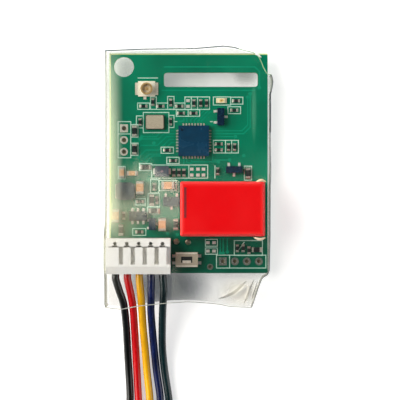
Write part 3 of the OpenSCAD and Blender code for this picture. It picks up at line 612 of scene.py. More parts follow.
def ridge(u, v, a, b, width, height):
    """A crease from a to b: a rounded ridge that fades at its ends."""
    d = Vector((b[0] - a[0], b[1] - a[1]))
    p = Vector((u - a[0], v - a[1]))
    t = max(0, min(1, p.dot(d) / d.length_squared))
    away = (p - d * t).length / width
    return height * math.exp(-away * away) * (CREASE_ENDS + (1 - CREASE_ENDS) * math.sin(math.pi * t))


def film_height(u, v):
    """The settled film with its wrinkles, in mm above the floor."""
    soft = noise.noise(Vector((u * 0.35, v * 0.2, 3.7))) + 0.5 * noise.noise(Vector((u * 0.9, v * 0.45, 8.1)))
    return tent(u, v) + WAVE_HEIGHT * (soft + 1.0) + sum(ridge(u, v, *c) for c in CREASES)


print("creases:", len(CREASES))

# %% [markdown]
# ## The film as a closed grid
#
# A tube can be made as a cylinder that is squeezed flat, but then its points bunch up at the sides. Here
# each ring of points goes once round the tube: over the parts, round the right side, back under the board
# and up the left side. Rings follow each other from the head to the tail, and quads join them.

# %% Rings of points from head to tail
ALONG, ACROSS_TOP, ACROSS_UNDER = 190, 140, 50


def film_point(kind, value, t, above):
    """A point of the film in metres. t runs from head to tail.

    A column lies across the middle, where value is its share of the width, or round a side by an angle.
    """
    flat = {"left": FILM_LEFT, "right": FILM_RIGHT}.get(kind, FILM_LEFT + value * FILM_WIDE)
    top, bottom = along_line(HEAD, flat), along_line(TAIL, flat)
    v = top + (bottom - top) * t
    left, right = along_line(LEFT, v), along_line(RIGHT, v)
    near, far = (along_line(LEFT_ROUND, v), RIGHT_ROUND) if above else (UNDER_ROUND, UNDER_ROUND)
    r, drop = (near if kind == "left" else far), 0
    u = left + near + value * (right - left - near - far)
    if kind != "mid":
        drop = r * (1 - math.sin(value))
        u = left + r * (1 - math.cos(value)) if kind == "left" else right - r * (1 - math.cos(value))
    if above:
        z = film_height(u, v) - drop
    else:
        z = 0.03 + 0.02 * noise.noise(Vector((u * 0.5, v * 0.5, 1.0))) + drop
    return Vector(((bx + u) * MM, (by + v) * MM, z * MM))


turn = [math.radians(9 * k) for k in range(10)]
upper = [("left", a) for a in turn] + [("mid", k / ACROSS_TOP) for k in range(ACROSS_TOP + 1)]
upper += [("right", a) for a in turn[::-1]]
under = [("left", a) for a in turn[::3]] + [("mid", k / ACROSS_UNDER) for k in range(ACROSS_UNDER + 1)]
under += [("right", a) for a in turn[::-3]]
points, faces, lower = [], [], []
for row in range(ALONG + 1):
    over_ring = [film_point(*column, row / ALONG, True) for column in upper]
    points.append(over_ring + [film_point(*column, row / ALONG, False) for column in under[::-1]])
count = len(points[0])
for row in range(ALONG):
    for k in range(count):
        nxt = (k + 1) % count
        faces.append((row * count + k, (row + 1) * count + k, (row + 1) * count + nxt, row * count + nxt))
        lower.append(len(upper) + 2 <= k < count - 3)
print("film points:", len(points) * count, "faces:", len(faces), "of which below:", sum(lower))

# %% [markdown]
# ## What the film looks like
#
# The film is clear PET: most light goes straight through, a little mirrors off its surface, more at a
# slant. A glass shader would bend light at each of the four skins and turn noisy, so a transparent shader
# is mixed with a gloss instead, by the slant of the surface that a Layer Weight node gives. Handling
# leaves a thin milky haze, more of it on the underside. A pale band along the left turn is painted glow,
# and a few patches are painted light and shade.

# %% Clear film for the upper and the lower side
STRAIGHT_ON, ALL_OF_IT = 0.04, 1.0
# the left turn in board mm: its painted glow across the board and along it, and where its rubbing fades
# across
GLOW_ACROSS, GLOW_ALONG, RUBBED_ACROSS = (-0.3, 2.4), (6.0, 37.0), (0.8, 3.0)


def clear_film(name, haze_low, haze_high, rough, fold_glow, patches):
    """haze is the milky share all over, fold_glow the painted glow along the left turn, rough the blunt of
    the mirror.
    """
    tree = start_finish(name)
    place = add(tree, "TexCoord", give="Object")
    # handling marks, about 6 mm across
    cloud = add(tree, "TexNoise", {"Vector": place, "Scale": per_mm(6.0), "Detail": 4.0, "Roughness": 0.6})
    haze = add(tree, "MapRange", {"Value": cloud, "From Min": 0.3, "From Max": 0.75,
                                  "To Min": haze_low, "To Max": haze_high})
    # a pale band along the left turn, down the board's left edge, is painted glow: the light that the turn
    # mirrors and bends
    across = add(tree, "SeparateXYZ", {"Vector": place}, give="X")
    along = add(tree, "SeparateXYZ", {"Vector": place}, give="Y")
    inward = add(tree, "MapRange", {"Value": across, "From Min": (bx + GLOW_ACROSS[0]) * MM,
                                    "From Max": (bx + GLOW_ACROSS[1]) * MM})
    band = add(tree, "ValToRGB", {"Fac": inward}, stops=[(0.09, 0.0), (0.15, 0.9), (0.45, 0.5), (1.0, 0.0)])
    upward = add(tree, "MapRange", {"Value": along, "From Min": (by + GLOW_ALONG[0]) * MM,
                                    "From Max": (by + GLOW_ALONG[1]) * MM})
    length = add(tree, "ValToRGB", {"Fac": upward},
                 stops=[(0.0, 0.0), (0.1, fold_glow), (0.5, fold_glow), (1.0, 0.2 * fold_glow)])
    fold = add(tree, "Math", {0: band, 1: length}, operation="MULTIPLY")
    milky = add(tree, "Math", {0: fold, 1: haze}, operation="MAXIMUM")
    # the pale yellow-green is the tint of the painted glow; elsewhere the milk is handling haze
    shade = add(tree, "ValToRGB", {"Fac": fold}, stops=[(0.0, "#F3F2E2"), (0.3, "#E9F0BE")])
    # the turn is rubbed dull, so its mirror is blunter than that of the flat film
    rubbed = add(tree, "MapRange", {"Value": across, "From Min": (bx + RUBBED_ACROSS[0]) * MM,
                                    "From Max": (bx + RUBBED_ACROSS[1]) * MM,
                                    "To Min": 0.5, "To Max": rough}, interpolation_type="SMOOTHSTEP")
    # dust from handling takes part of the mirror away, and age has turned it a little yellow
    gloss = add(tree, "BsdfGlossy", {"Color": "#B4B4A4", "Roughness": rubbed})
    through = add(tree, "BsdfTransparent", {"Color": grey(1.0)})
    # clear plastic mirrors 4 % straight on and all of it at a glancing angle, from inside as from outside
    slant = add(tree, "LayerWeight", {"Blend": 0.5}, give="Facing")
    steep = add(tree, "Math", {0: slant, 1: 5.0}, operation="POWER")
    edge = add(tree, "MapRange", {"Value": steep, "To Min": STRAIGHT_ON, "To Max": ALL_OF_IT})
    sheet = add(tree, "MixShader", {0: edge, 1: through, 2: gloss})
    milk = add(tree, "BsdfDiffuse", {"Color": shade})
    whole = add(tree, "MixShader", {0: milky, 1: sheet, 2: milk})
    for u, v, wide, tall, veil, tint in patches:
        middle, span = Vector((bx + u, by + v, 0)) * MM, Vector((wide, tall, 1e6)) * MM
        apart = add(tree, "VectorMath", {0: place, 1: middle}, operation="SUBTRACT")
        apart = add(tree, "VectorMath", {0: apart, 1: span}, operation="DIVIDE")
        apart = add(tree, "VectorMath", {0: apart}, give="Value", operation="LENGTH")
        spread = add(tree, "MapRange", {"Value": apart, "From Min": 0.2, "From Max": 1.0,
                                        "To Min": veil, "To Max": 0.0}, interpolation_type="SMOOTHSTEP")
        dull = add(tree, "BsdfDiffuse", {"Color": tint})
        whole = add(tree, "MixShader", {0: spread, 1: whole, 2: dull})
    end_finish(tree, whole)


# painted light and shade: place in board mm, reach across and along, strength and tint. On the upper film
# a painted haze of mirrored light lies over the parts above the connector, a painted pale patch in the
# creased corner at the lead end, a painted highlight down the right edge and painted shade in its bulge.
# On the lower film painted shadow lies beside the leads, painted shade lightly under the hole and the
# slot, and more at the slot's right end
PAINTED_LIGHT = [(1.5, 9.0, 6.0, 6.0, 0.08, "#F5EFC8"), (22.2, -3.2, 4.5, 3.2, 0.35, "#F6F1E2"),
           (24.6, 27.6, 0.6, 6.5, 0.07, "#8FDCB8"), (27.5, 32.4, 0.55, 2.2, 0.22, "#8C9A88")]
PAINTED_SHADE = [(9.8, -2.4, 9.0, 5.5, 0.52, "#546676"), (4.5, 33.5, 20.0, 8.0, 0.12, "#7FB89A"),
          (23.2, 34.3, 2.9, 2.7, 0.2, "#6E8A80")]
clear_film("clear_pet_film", 0.0, 0.002, 0.18, 0.34, PAINTED_LIGHT)
clear_film("scuffed_and_shaded_pet_film", 0.03, 0.1, 0.3, 0.0, PAINTED_SHADE)
print("patches and scuffs:", len(PAINTED_LIGHT) + len(PAINTED_SHADE))

# %% [markdown]
# ## The film as a piece
#
# The points and faces become a mesh, which stands for the CAD sleeve. The real film is about a tenth of a
# millimetre thick. Both skins could be built point by point, but a Solidify modifier adds the second one
# by itself.

# %% The film's mesh and its thickness
FILM_THICK = 0.12 * MM


def mesh_piece(name, places, faces, finish):
    """A mesh that rides on the module, in a finish."""
    shape = bpy.data.meshes.new(name)
    shape.from_pydata(places, [], faces)
    shape.update()
    shape.materials.append(finishes[finish])
    piece = place_object(name, shape)
    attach(piece, "module")
    return piece


film = mesh_piece("shrink_film", [p for ring in points for p in ring], faces, "clear_pet_film")
film.data.materials.append(finishes["scuffed_and_shaded_pet_film"])
for face, below in zip(film.data.polygons, lower):
    face.material_index = 1 if below else 0
    face.use_smooth = True
thick = film.modifiers.new("thickness", "SOLIDIFY")
thick.thickness = FILM_THICK
thick.offset = -1
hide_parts("heat_shrink_sleeve")
print("film, mm:", in_mm(film.dimensions))

# %% [markdown]
# ## Beads, folds and glints
#
# The cut ends and the sides of the film draw up into a thin bead, which bends light away from the eye and
# so looks grey; at the lead end it is milky and looks pale across the dark leads. The creased corner has
# a few sharp folds, which bend light away in dark strokes, and where the film is tight round the relay's
# corners and at the drawn-back corner it glints. A fine bead would need a far denser grid, so each is a
# round curve along the film's own points, partly clear and partly dull: the beads' grey and the folds'
# strokes are painted shade, and the glints are painted highlights; folds and glints taper to their ends.

# %% Lines along the film's edges and creases
CORNER_U, HIGH_V, LOW_V = 22.2, 31.0, 24.0
side_at = len(upper) - 1
left_side, right_side = [ring[0] for ring in points], [ring[side_at] for ring in points]
head_side = points[0][:side_at + 1]
corner = sum(p.x < (bx + CORNER_U) * MM for p in head_side)
high_row, low_row = (sum(p.y > (by + v) * MM for p in right_side) for v in (HIGH_V, LOW_V))
# each bead: its points, width in mm and shade
LINES = {"film_head_bead": (head_side[:corner], 0.23, "#6E7B80"),
         "film_corner_bead": (head_side[corner - 1:], 0.15, "#A6C79E"),
         "film_tail_bead": (points[-1][:side_at + 1], 0.14, "#C4C6BE"),
         "film_left_bead": (left_side, 0.12, "#8A928E"),
         "film_high_right_bead": (right_side[:high_row], 0.2, "#747D80"),
         "film_right_bead": (right_side[high_row - 1:low_row], 0.26, "#4A525A"),
         "film_low_right_bead": (right_side[low_row - 1:], 0.15, "#788086")}
# each fold or glint: places in board mm, width and shade
FOLDS = {"film_long_fold": ([(18.6, -4.3), (19.9, -3.85), (21.4, -3.1), (22.6, -1.95), (23.3, -1.3)],
                            0.5, "#86847E"),
         "film_short_fold": ([(22.9, -5.2), (23.4, -4.0), (23.9, -2.6), (24.6, -1.0)], 0.3, "#9A978E"),
         "film_side_fold": ([(24.2, -4.6), (24.6, -3.2), (25.2, -1.3)], 0.26, "#83827C"),
         "film_corner_glint": ([(24.8, 37.4), (25.35, 37.2), (25.9, 36.75)], 0.34, "#FFFFFF"),
         "film_high_glint": ([(24.9, 15.55), (25.75, 15.78), (26.5, 15.5)], 0.5, "#FFDDB8"),
         "film_low_glint": ([(24.5, 6.2), (25.5, 5.9), (26.4, 6.15)], 0.46, "#FFE6CC")}
for name, (line, width, shade) in FOLDS.items():
    way = smooth_line([(u, v, 0.0) for u, v in line], 6)
    LINES[name] = ([Vector((bx + p.x, by + p.y, film_height(p.x, p.y))) * MM for p in way], width, shade)
for name, (line, width, shade) in LINES.items():
    # folds are clearer than beads and glints
    thin, dense = (0.16, 0.36) if name.endswith("_fold") else (0.5, 0.9)
    tree = start_finish(f"drawn_{name}")
    place = add(tree, "TexCoord", give="Object")
    cloud = add(tree, "TexNoise", {"Vector": place, "Scale": per_mm(3.0)})
    veil = add(tree, "MapRange", {
        "Value": cloud, "From Min": 0.3, "From Max": 0.7, "To Min": thin, "To Max": dense})
    # the dull tone is painted: shade on beads and folds, highlight on glints
    painted_tone = add(tree, "BsdfDiffuse", {"Color": shade})
    clear = add(tree, "BsdfTransparent", {"Color": "#FBFBFA"})
    end_finish(tree, add(tree, "MixShader", {0: veil, 1: clear, 2: painted_tone}))
    edge = round_curve(name, [line], width * MM, f"drawn_{name}", "module", name in FOLDS)
    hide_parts("heat_shrink_sleeve")
print("lines on the film:", len(LINES), "of which folds and glints:", len(FOLDS))

# %% [markdown]
# ## The board
#
# The board is glass-epoxy laminate with copper on both sides under green solder mask. Copper shows
# through the mask as a lighter, yellower green, bare laminate between as a darker one, and the sawn edge
# is straw-coloured glass and resin. The board is one solid, so its faces are told from its edge by the
# surface normal.

# %% Solder mask and sawn laminate edge
SHADE_BELOW, UNSHADED_ABOVE = 5.6 * MM, 7.0 * MM
tree = start_finish("green_solder_mask")
place = add(tree, "TexCoord", give="Object")
pour = add(tree, "TexNoise", {"Vector": place, "Scale": per_mm(9.0), "Detail": 2.0})
# the mask is painted darker toward the lead end: painted shade cast by the relay and the connector
along = add(tree, "SeparateXYZ", {"Vector": place}, give="Y")
unshaded = add(tree, "MapRange", {"Value": along, "From Min": board_low.y + SHADE_BELOW,
                                "From Max": board_low.y + UNSHADED_ABOVE, "To Min": 0.35, "To Max": 1.0})
pour = add(tree, "Math", {0: pour, 1: unshaded}, operation="MULTIPLY")
mask = add(tree, "ValToRGB", {"Fac": pour}, stops=[(0.0, "#003A2C"), (0.3, "#006E52"), (0.7, "#008763")])
# the weave of the glass cloth, 0.4 mm a thread, shows faintly in the mask
weave = add(tree, "TexVoronoi", {"Vector": place, "Scale": per_mm(0.4)}, distance="CHEBYCHEV")
lift = add(tree, "Bump", {"Height": weave, "Distance": 0.006 * MM, "Strength": 0.5})
glass = add(tree, "TexNoise", {"Vector": place, "Scale": per_mm(0.3), "Detail": 3.0})
sawn = add(tree, "ValToRGB", {"Fac": glass}, stops=[(0.35, "#8FA86A"), (0.7, "#C3CF93")])
facing = add(tree, "SeparateXYZ", {"Vector": add(tree, "NewGeometry", give="True Normal")}, give="Z")
upright = add(tree, "Math", {0: facing}, operation="ABSOLUTE")
tone = add(tree, "Mix", {"Factor": upright, "A": sawn, "B": mask}, give="Result", data_type="RGBA")
end_finish(tree, add(tree, "BsdfPrincipled", {
    "Base Color": tone, "Roughness": 0.22, "IOR": 1.55, "Normal": lift}))
# the painted shade reaches up to this v
print("mask over bare laminate up to v, mm:", SHADE_BELOW / MM)

# %% [markdown]
# ## Printed legend, bare rim and bare pads
#
# White ink outlines show where parts go. On the two routed edges the mask stops short and leaves a
# straw-coloured rim; the other two edges were snapped from a panel and are masked right up to the edge.
# Bare pads wait for parts that were not fitted. All this could be an image laid on the board, but an
# image blurs close up and has no edges, so each line is a thin flat bar of mesh on the mask, a hair above
# it.

# %% Flat bars and their finishes
BAR_FACES = ((4, 7, 6, 5), (0, 1, 2, 3), (0, 4, 5, 1), (1, 5, 6, 2), (2, 6, 7, 3), (3, 7, 4, 0))


def bars_piece(name, bars, finish):
    """One mesh of flat bars: each goes from a to b in board mm, and has a width and a low and a high side."""
    places, faces = [], []
    for a, b, width, low, high in bars:
        start = len(places)
        way = Vector((b[0] - a[0], b[1] - a[1])).normalized() * (width / 2)
        side = Vector((-way.y, way.x))
        corners = [(a[0] - way.x + side.x, a[1] - way.y + side.y),
                   (b[0] + way.x + side.x, b[1] + way.y + side.y),
                   (b[0] + way.x - side.x, b[1] + way.y - side.y),
                   (a[0] - way.x - side.x, a[1] - way.y - side.y)]
        for z in (low, high):
            places += [on_board(u, v, z) for u, v in corners]
        faces += [[start + i for i in face] for face in BAR_FACES]
    return mesh_piece(name, places, faces, finish)


# epoxy legend ink: chalky white, a little green where the mask shines through
moulded("legend_ink", "#C4E8D6", "#A2D2BE", 0.55, 0.5, 0.1, 0.004)
# copper under mask: lighter and yellower than the bare laminate
moulded("mask_over_copper", "#0A9A75", "#008C69", 0.24, 2.0, 0.2, 0.004)
# bare glass-epoxy laminate along the routed edges: straw-coloured and matt
moulded("bare_laminate_rim", "#D3E2A6", "#B7CC88", 0.5, 0.8, 0.2, 0.006)
print("finishes so far:", len(finishes))

# %% Outlines, rim and pads
INK_WIDE, INK_LOW, BAR_HIGH = 0.15, 0.002, 0.026
# outlines as left, lower, right and upper side in board mm, then single bars
LEGEND = [(4.81, 27.95, 6.84, 29.03), (7.0, 27.95, 7.99, 30.07), (7.99, 27.95, 9.93, 29.03),
          (9.93, 27.95, 11.01, 30.15), (11.01, 27.95, 12.88, 29.03), (12.88, 27.95, 13.96, 30.07),
          (13.96, 27.95, 15.03, 30.07), (15.03, 27.95, 17.08, 30.07), (11.4, 26.77, 13.43, 27.9),
          (13.43, 26.77, 15.39, 27.9), (17.73, 28.69, 20.68, 30.07), (20.68, 28.84, 22.76, 30.03),
          (20.22, 27.22, 22.37, 28.4), (5.78, 23.99, 10.14, 27.42), (4.6, 24.78, 5.78, 26.83),
          (10.14, 24.86, 11.01, 26.93), (1.47, 19.68, 3.63, 25.85), (3.63, 23.2, 4.86, 25.36),
          (3.63, 20.1, 4.86, 22.18), (8.81, 20.46, 10.92, 21.5), (9.78, 18.7, 11.89, 19.78),
          (17.73, 20.51, 22.0, 22.66), (7.2, 16.21, 16.76, 18.45), (1.5, 16.1, 2.7, 18.2),
          (23.02, 15.87, 24.25, 18.26), (7.0, 13.7, 8.41, 15.96), (6.57, 11.4, 8.57, 13.6),
          (6.47, 10.1, 8.57, 11.26), (4.45, 11.64, 6.1, 12.7), (8.5, 14.1, 11.4, 15.8),
          (3.96, 6.45, 6.21, 7.63), (16.37, 4.59, 18.41, 5.77), (16.37, 3.23, 18.41, 4.3),
          (18.26, 0.87, 26.69, 3.07), (5.09, 17.5, 7.2, 18.7), (21.3, 3.02, 26.1, 5.56)]
BARS = [((4.9, 33.3), (8.2, 33.3)), ((1.47, 23.75), (3.63, 23.75)), ((19.8, 20.51), (19.8, 22.66)),
        ((20.85, 20.51), (20.85, 22.66)), ((11.05, 25.85), (11.5, 25.85)), ((17.25, 25.85), (17.55, 25.85)),
        ((11.1, 19.35), (11.5, 19.35)), ((18.0, 16.2), (18.0, 18.3)), ((13.55, 16.21), (13.55, 18.45)),
        ((20.5, 0.87), (20.5, 3.07)), ((22.0, 3.9), (23.0, 5.3))]
bars = []
# neighbours share edges, so each outline is a hair higher than the one before:
# faces in one plane would flicker
for turn_at, (u0, v0, u1, v1) in enumerate(LEGEND):
    ring = [(u0, v0), (u1, v0), (u1, v1), (u0, v1)]
    for side_no, (a, b) in enumerate(zip(ring, ring[1:] + ring[:1])):
        bars.append((a, b, INK_WIDE, INK_LOW, 0.014 + 0.0005 * (4 * (turn_at % 5) + side_no)))
bars += [(a, b, INK_WIDE, INK_LOW, BAR_HIGH) for a, b in BARS]
bars_piece("board_legend", bars, "legend_ink")

RIM_IN, RIM_WIDE = 0.12, 0.22
wide, deep = ((board_high - board_low) / MM).xy
head_rim = ((2 * RIM_IN, deep - RIM_IN), (wide - RIM_IN, deep - RIM_IN))
left_rim = ((RIM_IN, RIM_IN), (RIM_IN, deep - RIM_IN))
bars_piece("bare_board_rim", [(a, b, RIM_WIDE, 0.001, 0.006) for a, b in (head_rim, left_rim)],
           "bare_laminate_rim")

PADS = [(13.4, 29.44), (13.4, 28.46), (14.04, 17.75), (15.1, 17.75), (16.04, 17.75), (14.04, 16.74),
        (15.1, 16.74), (16.04, 16.74), (16.79, 5.2), (17.85, 5.2), (16.79, 3.77), (17.85, 3.77)]
bars_piece("bare_pads", [((u - 0.05, v), (u + 0.05, v), 0.5, 0.002, 0.04) for u, v in PADS],
           "matt_tin_plate")
print("legend outlines:", len(LEGEND), "bare pads:", len(PADS))

# %% [markdown]
# ## Traces and vias
#
# Copper traces run under the mask as low ridges in the lighter green, and vias, the plated holes that
# join the layers, are low rings that the mask has closed. A bump map could fake them, but real ridges
# also catch the light from the side. Traces are bars again. A via is turned from a profile, by a helper
# that also makes discs.

# %% Traces and vias under the mask
TRACE_WIDE = 0.2
# the traces that show most, as corners in board mm
TRACES = [[(11.0, 24.3), (9.0, 24.3), (8.0, 23.3), (5.5, 23.3)],
          [(11.0, 23.8), (9.3, 23.8), (8.4, 22.9), (5.2, 22.9)],
          [(11.0, 23.3), (9.7, 23.3), (8.2, 21.8), (5.4, 21.8), (4.9, 21.3)],
          [(11.0, 22.8), (10.2, 22.8), (8.4, 21.0), (6.2, 21.0), (5.0, 19.8)],
          [(11.0, 22.3), (10.6, 22.3), (8.6, 20.3), (6.8, 20.3), (5.4, 18.9)],
          [(8.7, 20.0), (7.3, 20.0), (6.3, 19.0)], [(12.7, 26.3), (12.7, 26.0), (11.8, 25.9)],
          [(13.2, 25.8), (13.2, 26.5)], [(13.9, 25.8), (13.9, 26.2), (15.6, 27.9)],
          [(14.5, 25.8), (14.5, 26.1), (16.2, 27.8)], [(15.1, 25.8), (15.1, 26.0), (16.8, 27.7)],
          [(15.7, 25.8), (15.7, 26.0), (17.2, 27.5)],
          [(17.6, 24.3), (22.6, 24.3), (23.6, 25.3), (23.6, 30.0)],
          [(17.6, 23.8), (22.9, 23.8), (24.0, 24.9), (24.0, 30.6)], [(17.6, 23.3), (21.5, 23.3)],
          [(17.6, 20.8), (17.6, 19.3), (20.5, 19.3)], [(12.7, 19.4), (12.7, 18.7)],
          [(13.2, 19.4), (13.2, 18.9), (14.0, 18.7)], [(14.0, 19.4), (14.0, 19.0), (18.6, 19.0)],
          [(9.4, 35.2), (24.8, 35.2), (25.6, 34.4), (25.6, 31.6)], [(9.0, 31.2), (24.8, 31.2)],
          [(18.9, 5.9), (18.9, 3.4)], [(19.4, 5.9), (19.4, 3.4)], [(20.1, 5.9), (20.1, 3.6)]]
VIAS = [(5.2, 22.9), (5.5, 23.3), (4.9, 21.3), (5.0, 19.8), (5.4, 18.9), (6.3, 19.0), (7.6, 22.2),
        (24.0, 30.6), (23.6, 30.0), (21.5, 23.3), (20.5, 19.3), (18.6, 19.0), (22.9, 20.0), (25.6, 31.6),
        (1.0, 19.0), (13.0, 15.9), (15.2, 19.6), (6.6, 16.0), (4.1, 11.0), (11.6, 6.6), (9.9, 6.8),
        (18.9, 3.4), (20.1, 3.6), (19.4, 3.4)]
# the rings of a via from the outside in: radius and height in mm
VIA = [(0.3, 0.001), (0.26, 0.012), (0.16, 0.012), (0.1, 0.004)]


def turned_piece(name, spots, finish, steps=28):
    """One mesh of low round forms: each has a centre, and rings of (radius, height) from the outside in."""
    places, faces = [], []
    for centre, profile in spots:
        start = len(places)
        for radius, height in profile:
            for k in range(steps):
                a = k * math.tau / steps
                places.append(centre + Vector((radius * math.cos(a), radius * math.sin(a), height)))
        for ring in range(len(profile) - 1):
            for k in range(steps):
                a, b = start + ring * steps + k, start + ring * steps + (k + 1) % steps
                faces.append((a, b, b + steps, a + steps))
        faces.append([start + (len(profile) - 1) * steps + k for k in range(steps)])
    return mesh_piece(name, places, faces, finish)


bars = []
for line in TRACES:
    # every second leg is a hair higher, so that two legs don't share a plane where they meet
    for leg, (a, b) in enumerate(zip(line, line[1:])):
        bars.append((a, b, TRACE_WIDE, 0.001, 0.008 + 0.001 * (leg % 2)))
bars_piece("covered_traces", bars, "mask_over_copper")
via_rings = [(r * MM, z * MM) for r, z in VIA]
spots = [(on_board(u, v), via_rings) for u, v in VIAS]
turned_piece("tented_vias", spots, "mask_over_copper", steps=16)
print("traces:", len(TRACES), "vias:", len(VIAS))

# %% [markdown]
# ## Solder fillets
#
# Every chip part is held by two fillets of solder that climb its ends. They are what catches the light on
# a real board. Placing ninety of them by hand would drift from the CAD model, so their places come from
# the chip ends themselves: the ends are split into islands, and each gets a hollow curved wedge on its
# outer side.

# %% The separate solids of a node


def islands(name):
    """Boxes of the separate solids in a CAD node."""
    work = bmesh.new()
    work.from_mesh(nodes[name].data)
    bmesh.ops.remove_doubles(work, verts=work.verts, dist=1e-6)
    found, seen = [], set()
    for vert in work.verts:
        if vert.index in seen:
            continue
        stack, group = [vert], []
        seen.add(vert.index)
        while stack:
            here = stack.pop()
            group.append(here.co.copy())
            for edge in here.link_edges:
                other = edge.other_vert(here)
                if other.index not in seen:
                    seen.add(other.index)
                    stack.append(other)
        found.append([Vector([pick(c[i] for c in group) for i in range(3)]) for pick in (min, max)])
    work.free()
    return found


print("resistors:", len(islands("resistor_bodies")), "capacitors:", len(islands("capacitor_bodies")))

# %% A fillet at each chip end
FILLET_REACH, FILLET_FLARE = 0.17 * MM, 0.04 * MM
places, faces = [], []
for kind in ("resistor", "capacitor"):
    middles = [(a + b) / 2 for a, b in islands(f"{kind}_bodies")]
    for low, high in islands(f"{kind}_ends"):
        centre = (low + high) / 2
        away = centre - min(middles, key=lambda m: (m - centre).length)
        axis = 0 if abs(away.x) > abs(away.y) else 1
        sign = 1 if away[axis] > 0 else -1
        tall, wide = high.z - low.z, (high[1 - axis] - low[1 - axis]) / 2
        face_at = high[axis] if sign > 0 else low[axis]
        # from the top of the climb out to the pad: distance from the end and height
        profile = [(0, tall * 0.8), (0.04 * MM, tall * 0.4), (0.09 * MM, tall * 0.16),
                   (FILLET_REACH, 0.02 * MM), (FILLET_REACH, 0)]
        start = len(places)
        for out_by, height in profile:
            for s in (-1, 1):
                spot = Vector((0, 0, low.z + height))
                spot[axis] = face_at + sign * out_by
                spot[1 - axis] = centre[1 - axis] + s * (wide + FILLET_FLARE * (out_by > 0))
                places.append(spot)
        turned = sign * (1 if axis == 0 else -1) < 0
        for k in range(len(profile) - 1):
            a = start + 2 * k
            faces.append((a, a + 1, a + 3, a + 2) if turned else (a + 1, a, a + 2, a + 3))
        for s in (0, 1):
            faces.append([start + 2 * k + s for k in range(len(profile))])
mesh_piece("solder_fillets", places, faces, "dipped_tin_ends")
print("fillets:", len(places) // 10)

# %% [markdown]
# ## Marks on the parts
#
# Relays carry a bar across one end for the coil, chips a mark at pin 1 and diodes a dot. They are thin
# prints, too thin to see from the side, so low bars and discs on the parts' tops do for them; a decal
# image would be blurred.

# %% Bar, dot and pin mark
# the rings of a disc from the outside in: share of its radius and of its height
DISC = [(1.0, 0.0), (0.97, 0.8), (0.9, 1.0), (0.5, 1.0)]


def disc(radius, height):
    """The rings of a disc with a rounded rim, in metres."""
    return [(radius * share, height * up) for share, up in DISC]


# pad-printed marking ink: dark red and matt on the relay, dusty pink on the diode
moulded("dark_marking_ink", "#961420", "#7E0E18", 0.6, 0.6, 0.1, 0.003)
moulded("pink_marking_ink", "#A08A8E", "#86707A", 0.6, 0.3, 0.1, 0.003)
relay_top = relay_high.z - bz
bars_piece("relay_coil_bar", [((12.98, 9.7), (12.98, 14.4), 0.4, relay_top + 0.002, relay_top + 0.02)],
           "dark_marking_ink")
diode_low, diode_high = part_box("diode_body")
dot_at = Vector(((diode_low.x + diode_high.x) / 2, (diode_low.y + diode_high.y) / 2, diode_high.z))
turned_piece("diode_dot", [(dot_at, disc(0.22 * MM, 0.02 * MM))], "pink_marking_ink")
PIN_MARK_IN = 0.65 * MM
chip_low, chip_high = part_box("mcu_body")
pin_at = Vector((chip_low.x + PIN_MARK_IN, chip_high.y - PIN_MARK_IN, chip_high.z))
turned_piece("chip_pin_mark", [(pin_at, disc(0.28 * MM, 0.012 * MM))],
             "transistor_moulding_compound")
print("marks on relay, diode and chip:", 3)

# %% [markdown]
# ## Dark discs in the open holes
#
# No pin was soldered into the open holes. Each gets a low brown-grey disc a little below its rim;
# without it the holes would show the white sheet through the board. The pads tell where the holes are.

# %% Dark discs below the rims
DISC_DEEP, DISC_SHARE = 0.45 * MM, 0.285
# brown-grey, with a resin's shine
moulded("dark_hole_fill", "#8C8272", "#6C6456", 0.35, 0.4, 0.15, 0.004, 1.54)
spots = []
for low, high in islands("hole_pads"):
    middle = (low + high) / 2
    if middle.z > board_high.z:
        spot = Vector((middle.x, middle.y, board_high.z - DISC_DEEP))
        spots.append((spot, disc((high.x - low.x) * DISC_SHARE, 0.03 * MM)))
turned_piece("dark_hole_discs", spots, "dark_hole_fill")
print("holes closed by flux:", len(spots))

# %% [markdown]
# ## The button's bent edges
#
# The button's frame is stamped from sheet. Its two long edges are bent over and a lip is left along the
# window, and these bends catch the light: their paler metal is a painted highlight. A bevel on the frame
# would round all its edges alike, so the bends are thin bars on the frame's top; the cap has room to move
# under the lip.

# %% Bent edges and lip of the button's frame
BEND_IN, BEND_HALF, BEND_WIDE = 0.16, 1.65, 0.24
LIP_DOWN, LIP_HALF, LIP_WIDE = 0.34, 0.5, 0.44
plate_low, plate_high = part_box("switch_frame")
plate_u, plate_v = ((plate_low + plate_high) / 2 - board_low).xy / MM
plate_top = (plate_high.z - board_high.z) / MM
half_tall = (plate_high.y - plate_low.y) / 2 / MM
bars = []
for v in (plate_v + half_tall - BEND_IN, plate_v - half_tall + BEND_IN):
    bars.append(((plate_u - BEND_HALF, v), (plate_u + BEND_HALF, v), BEND_WIDE,
                 plate_top - 0.01, plate_top + 0.03))
lip_v = plate_v - LIP_DOWN
bars.append(((plate_u - LIP_HALF, lip_v), (plate_u + LIP_HALF, lip_v), LIP_WIDE,
             plate_top - 0.04, plate_top + 0.02))
bars_piece("button_frame_bends", bars, "nickel_silver_bend_highlight")
print("button frame, mm:", in_mm(plate_high - plate_low))

# %% [markdown]
# ## The snap dome
#
# Under the button's cap lies a dished disc of spring steel. A press turns it flat with a click. The CAD
# solid can't change its shape, so a mesh turned from the same profile stands for it and gets a mesh of its
# own.

# %% Dome under the button
dome_low, dome_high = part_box("switch_dome")
dome_at, rise = (dome_low + dome_high) / 2, dome_high.z - dome_low.z
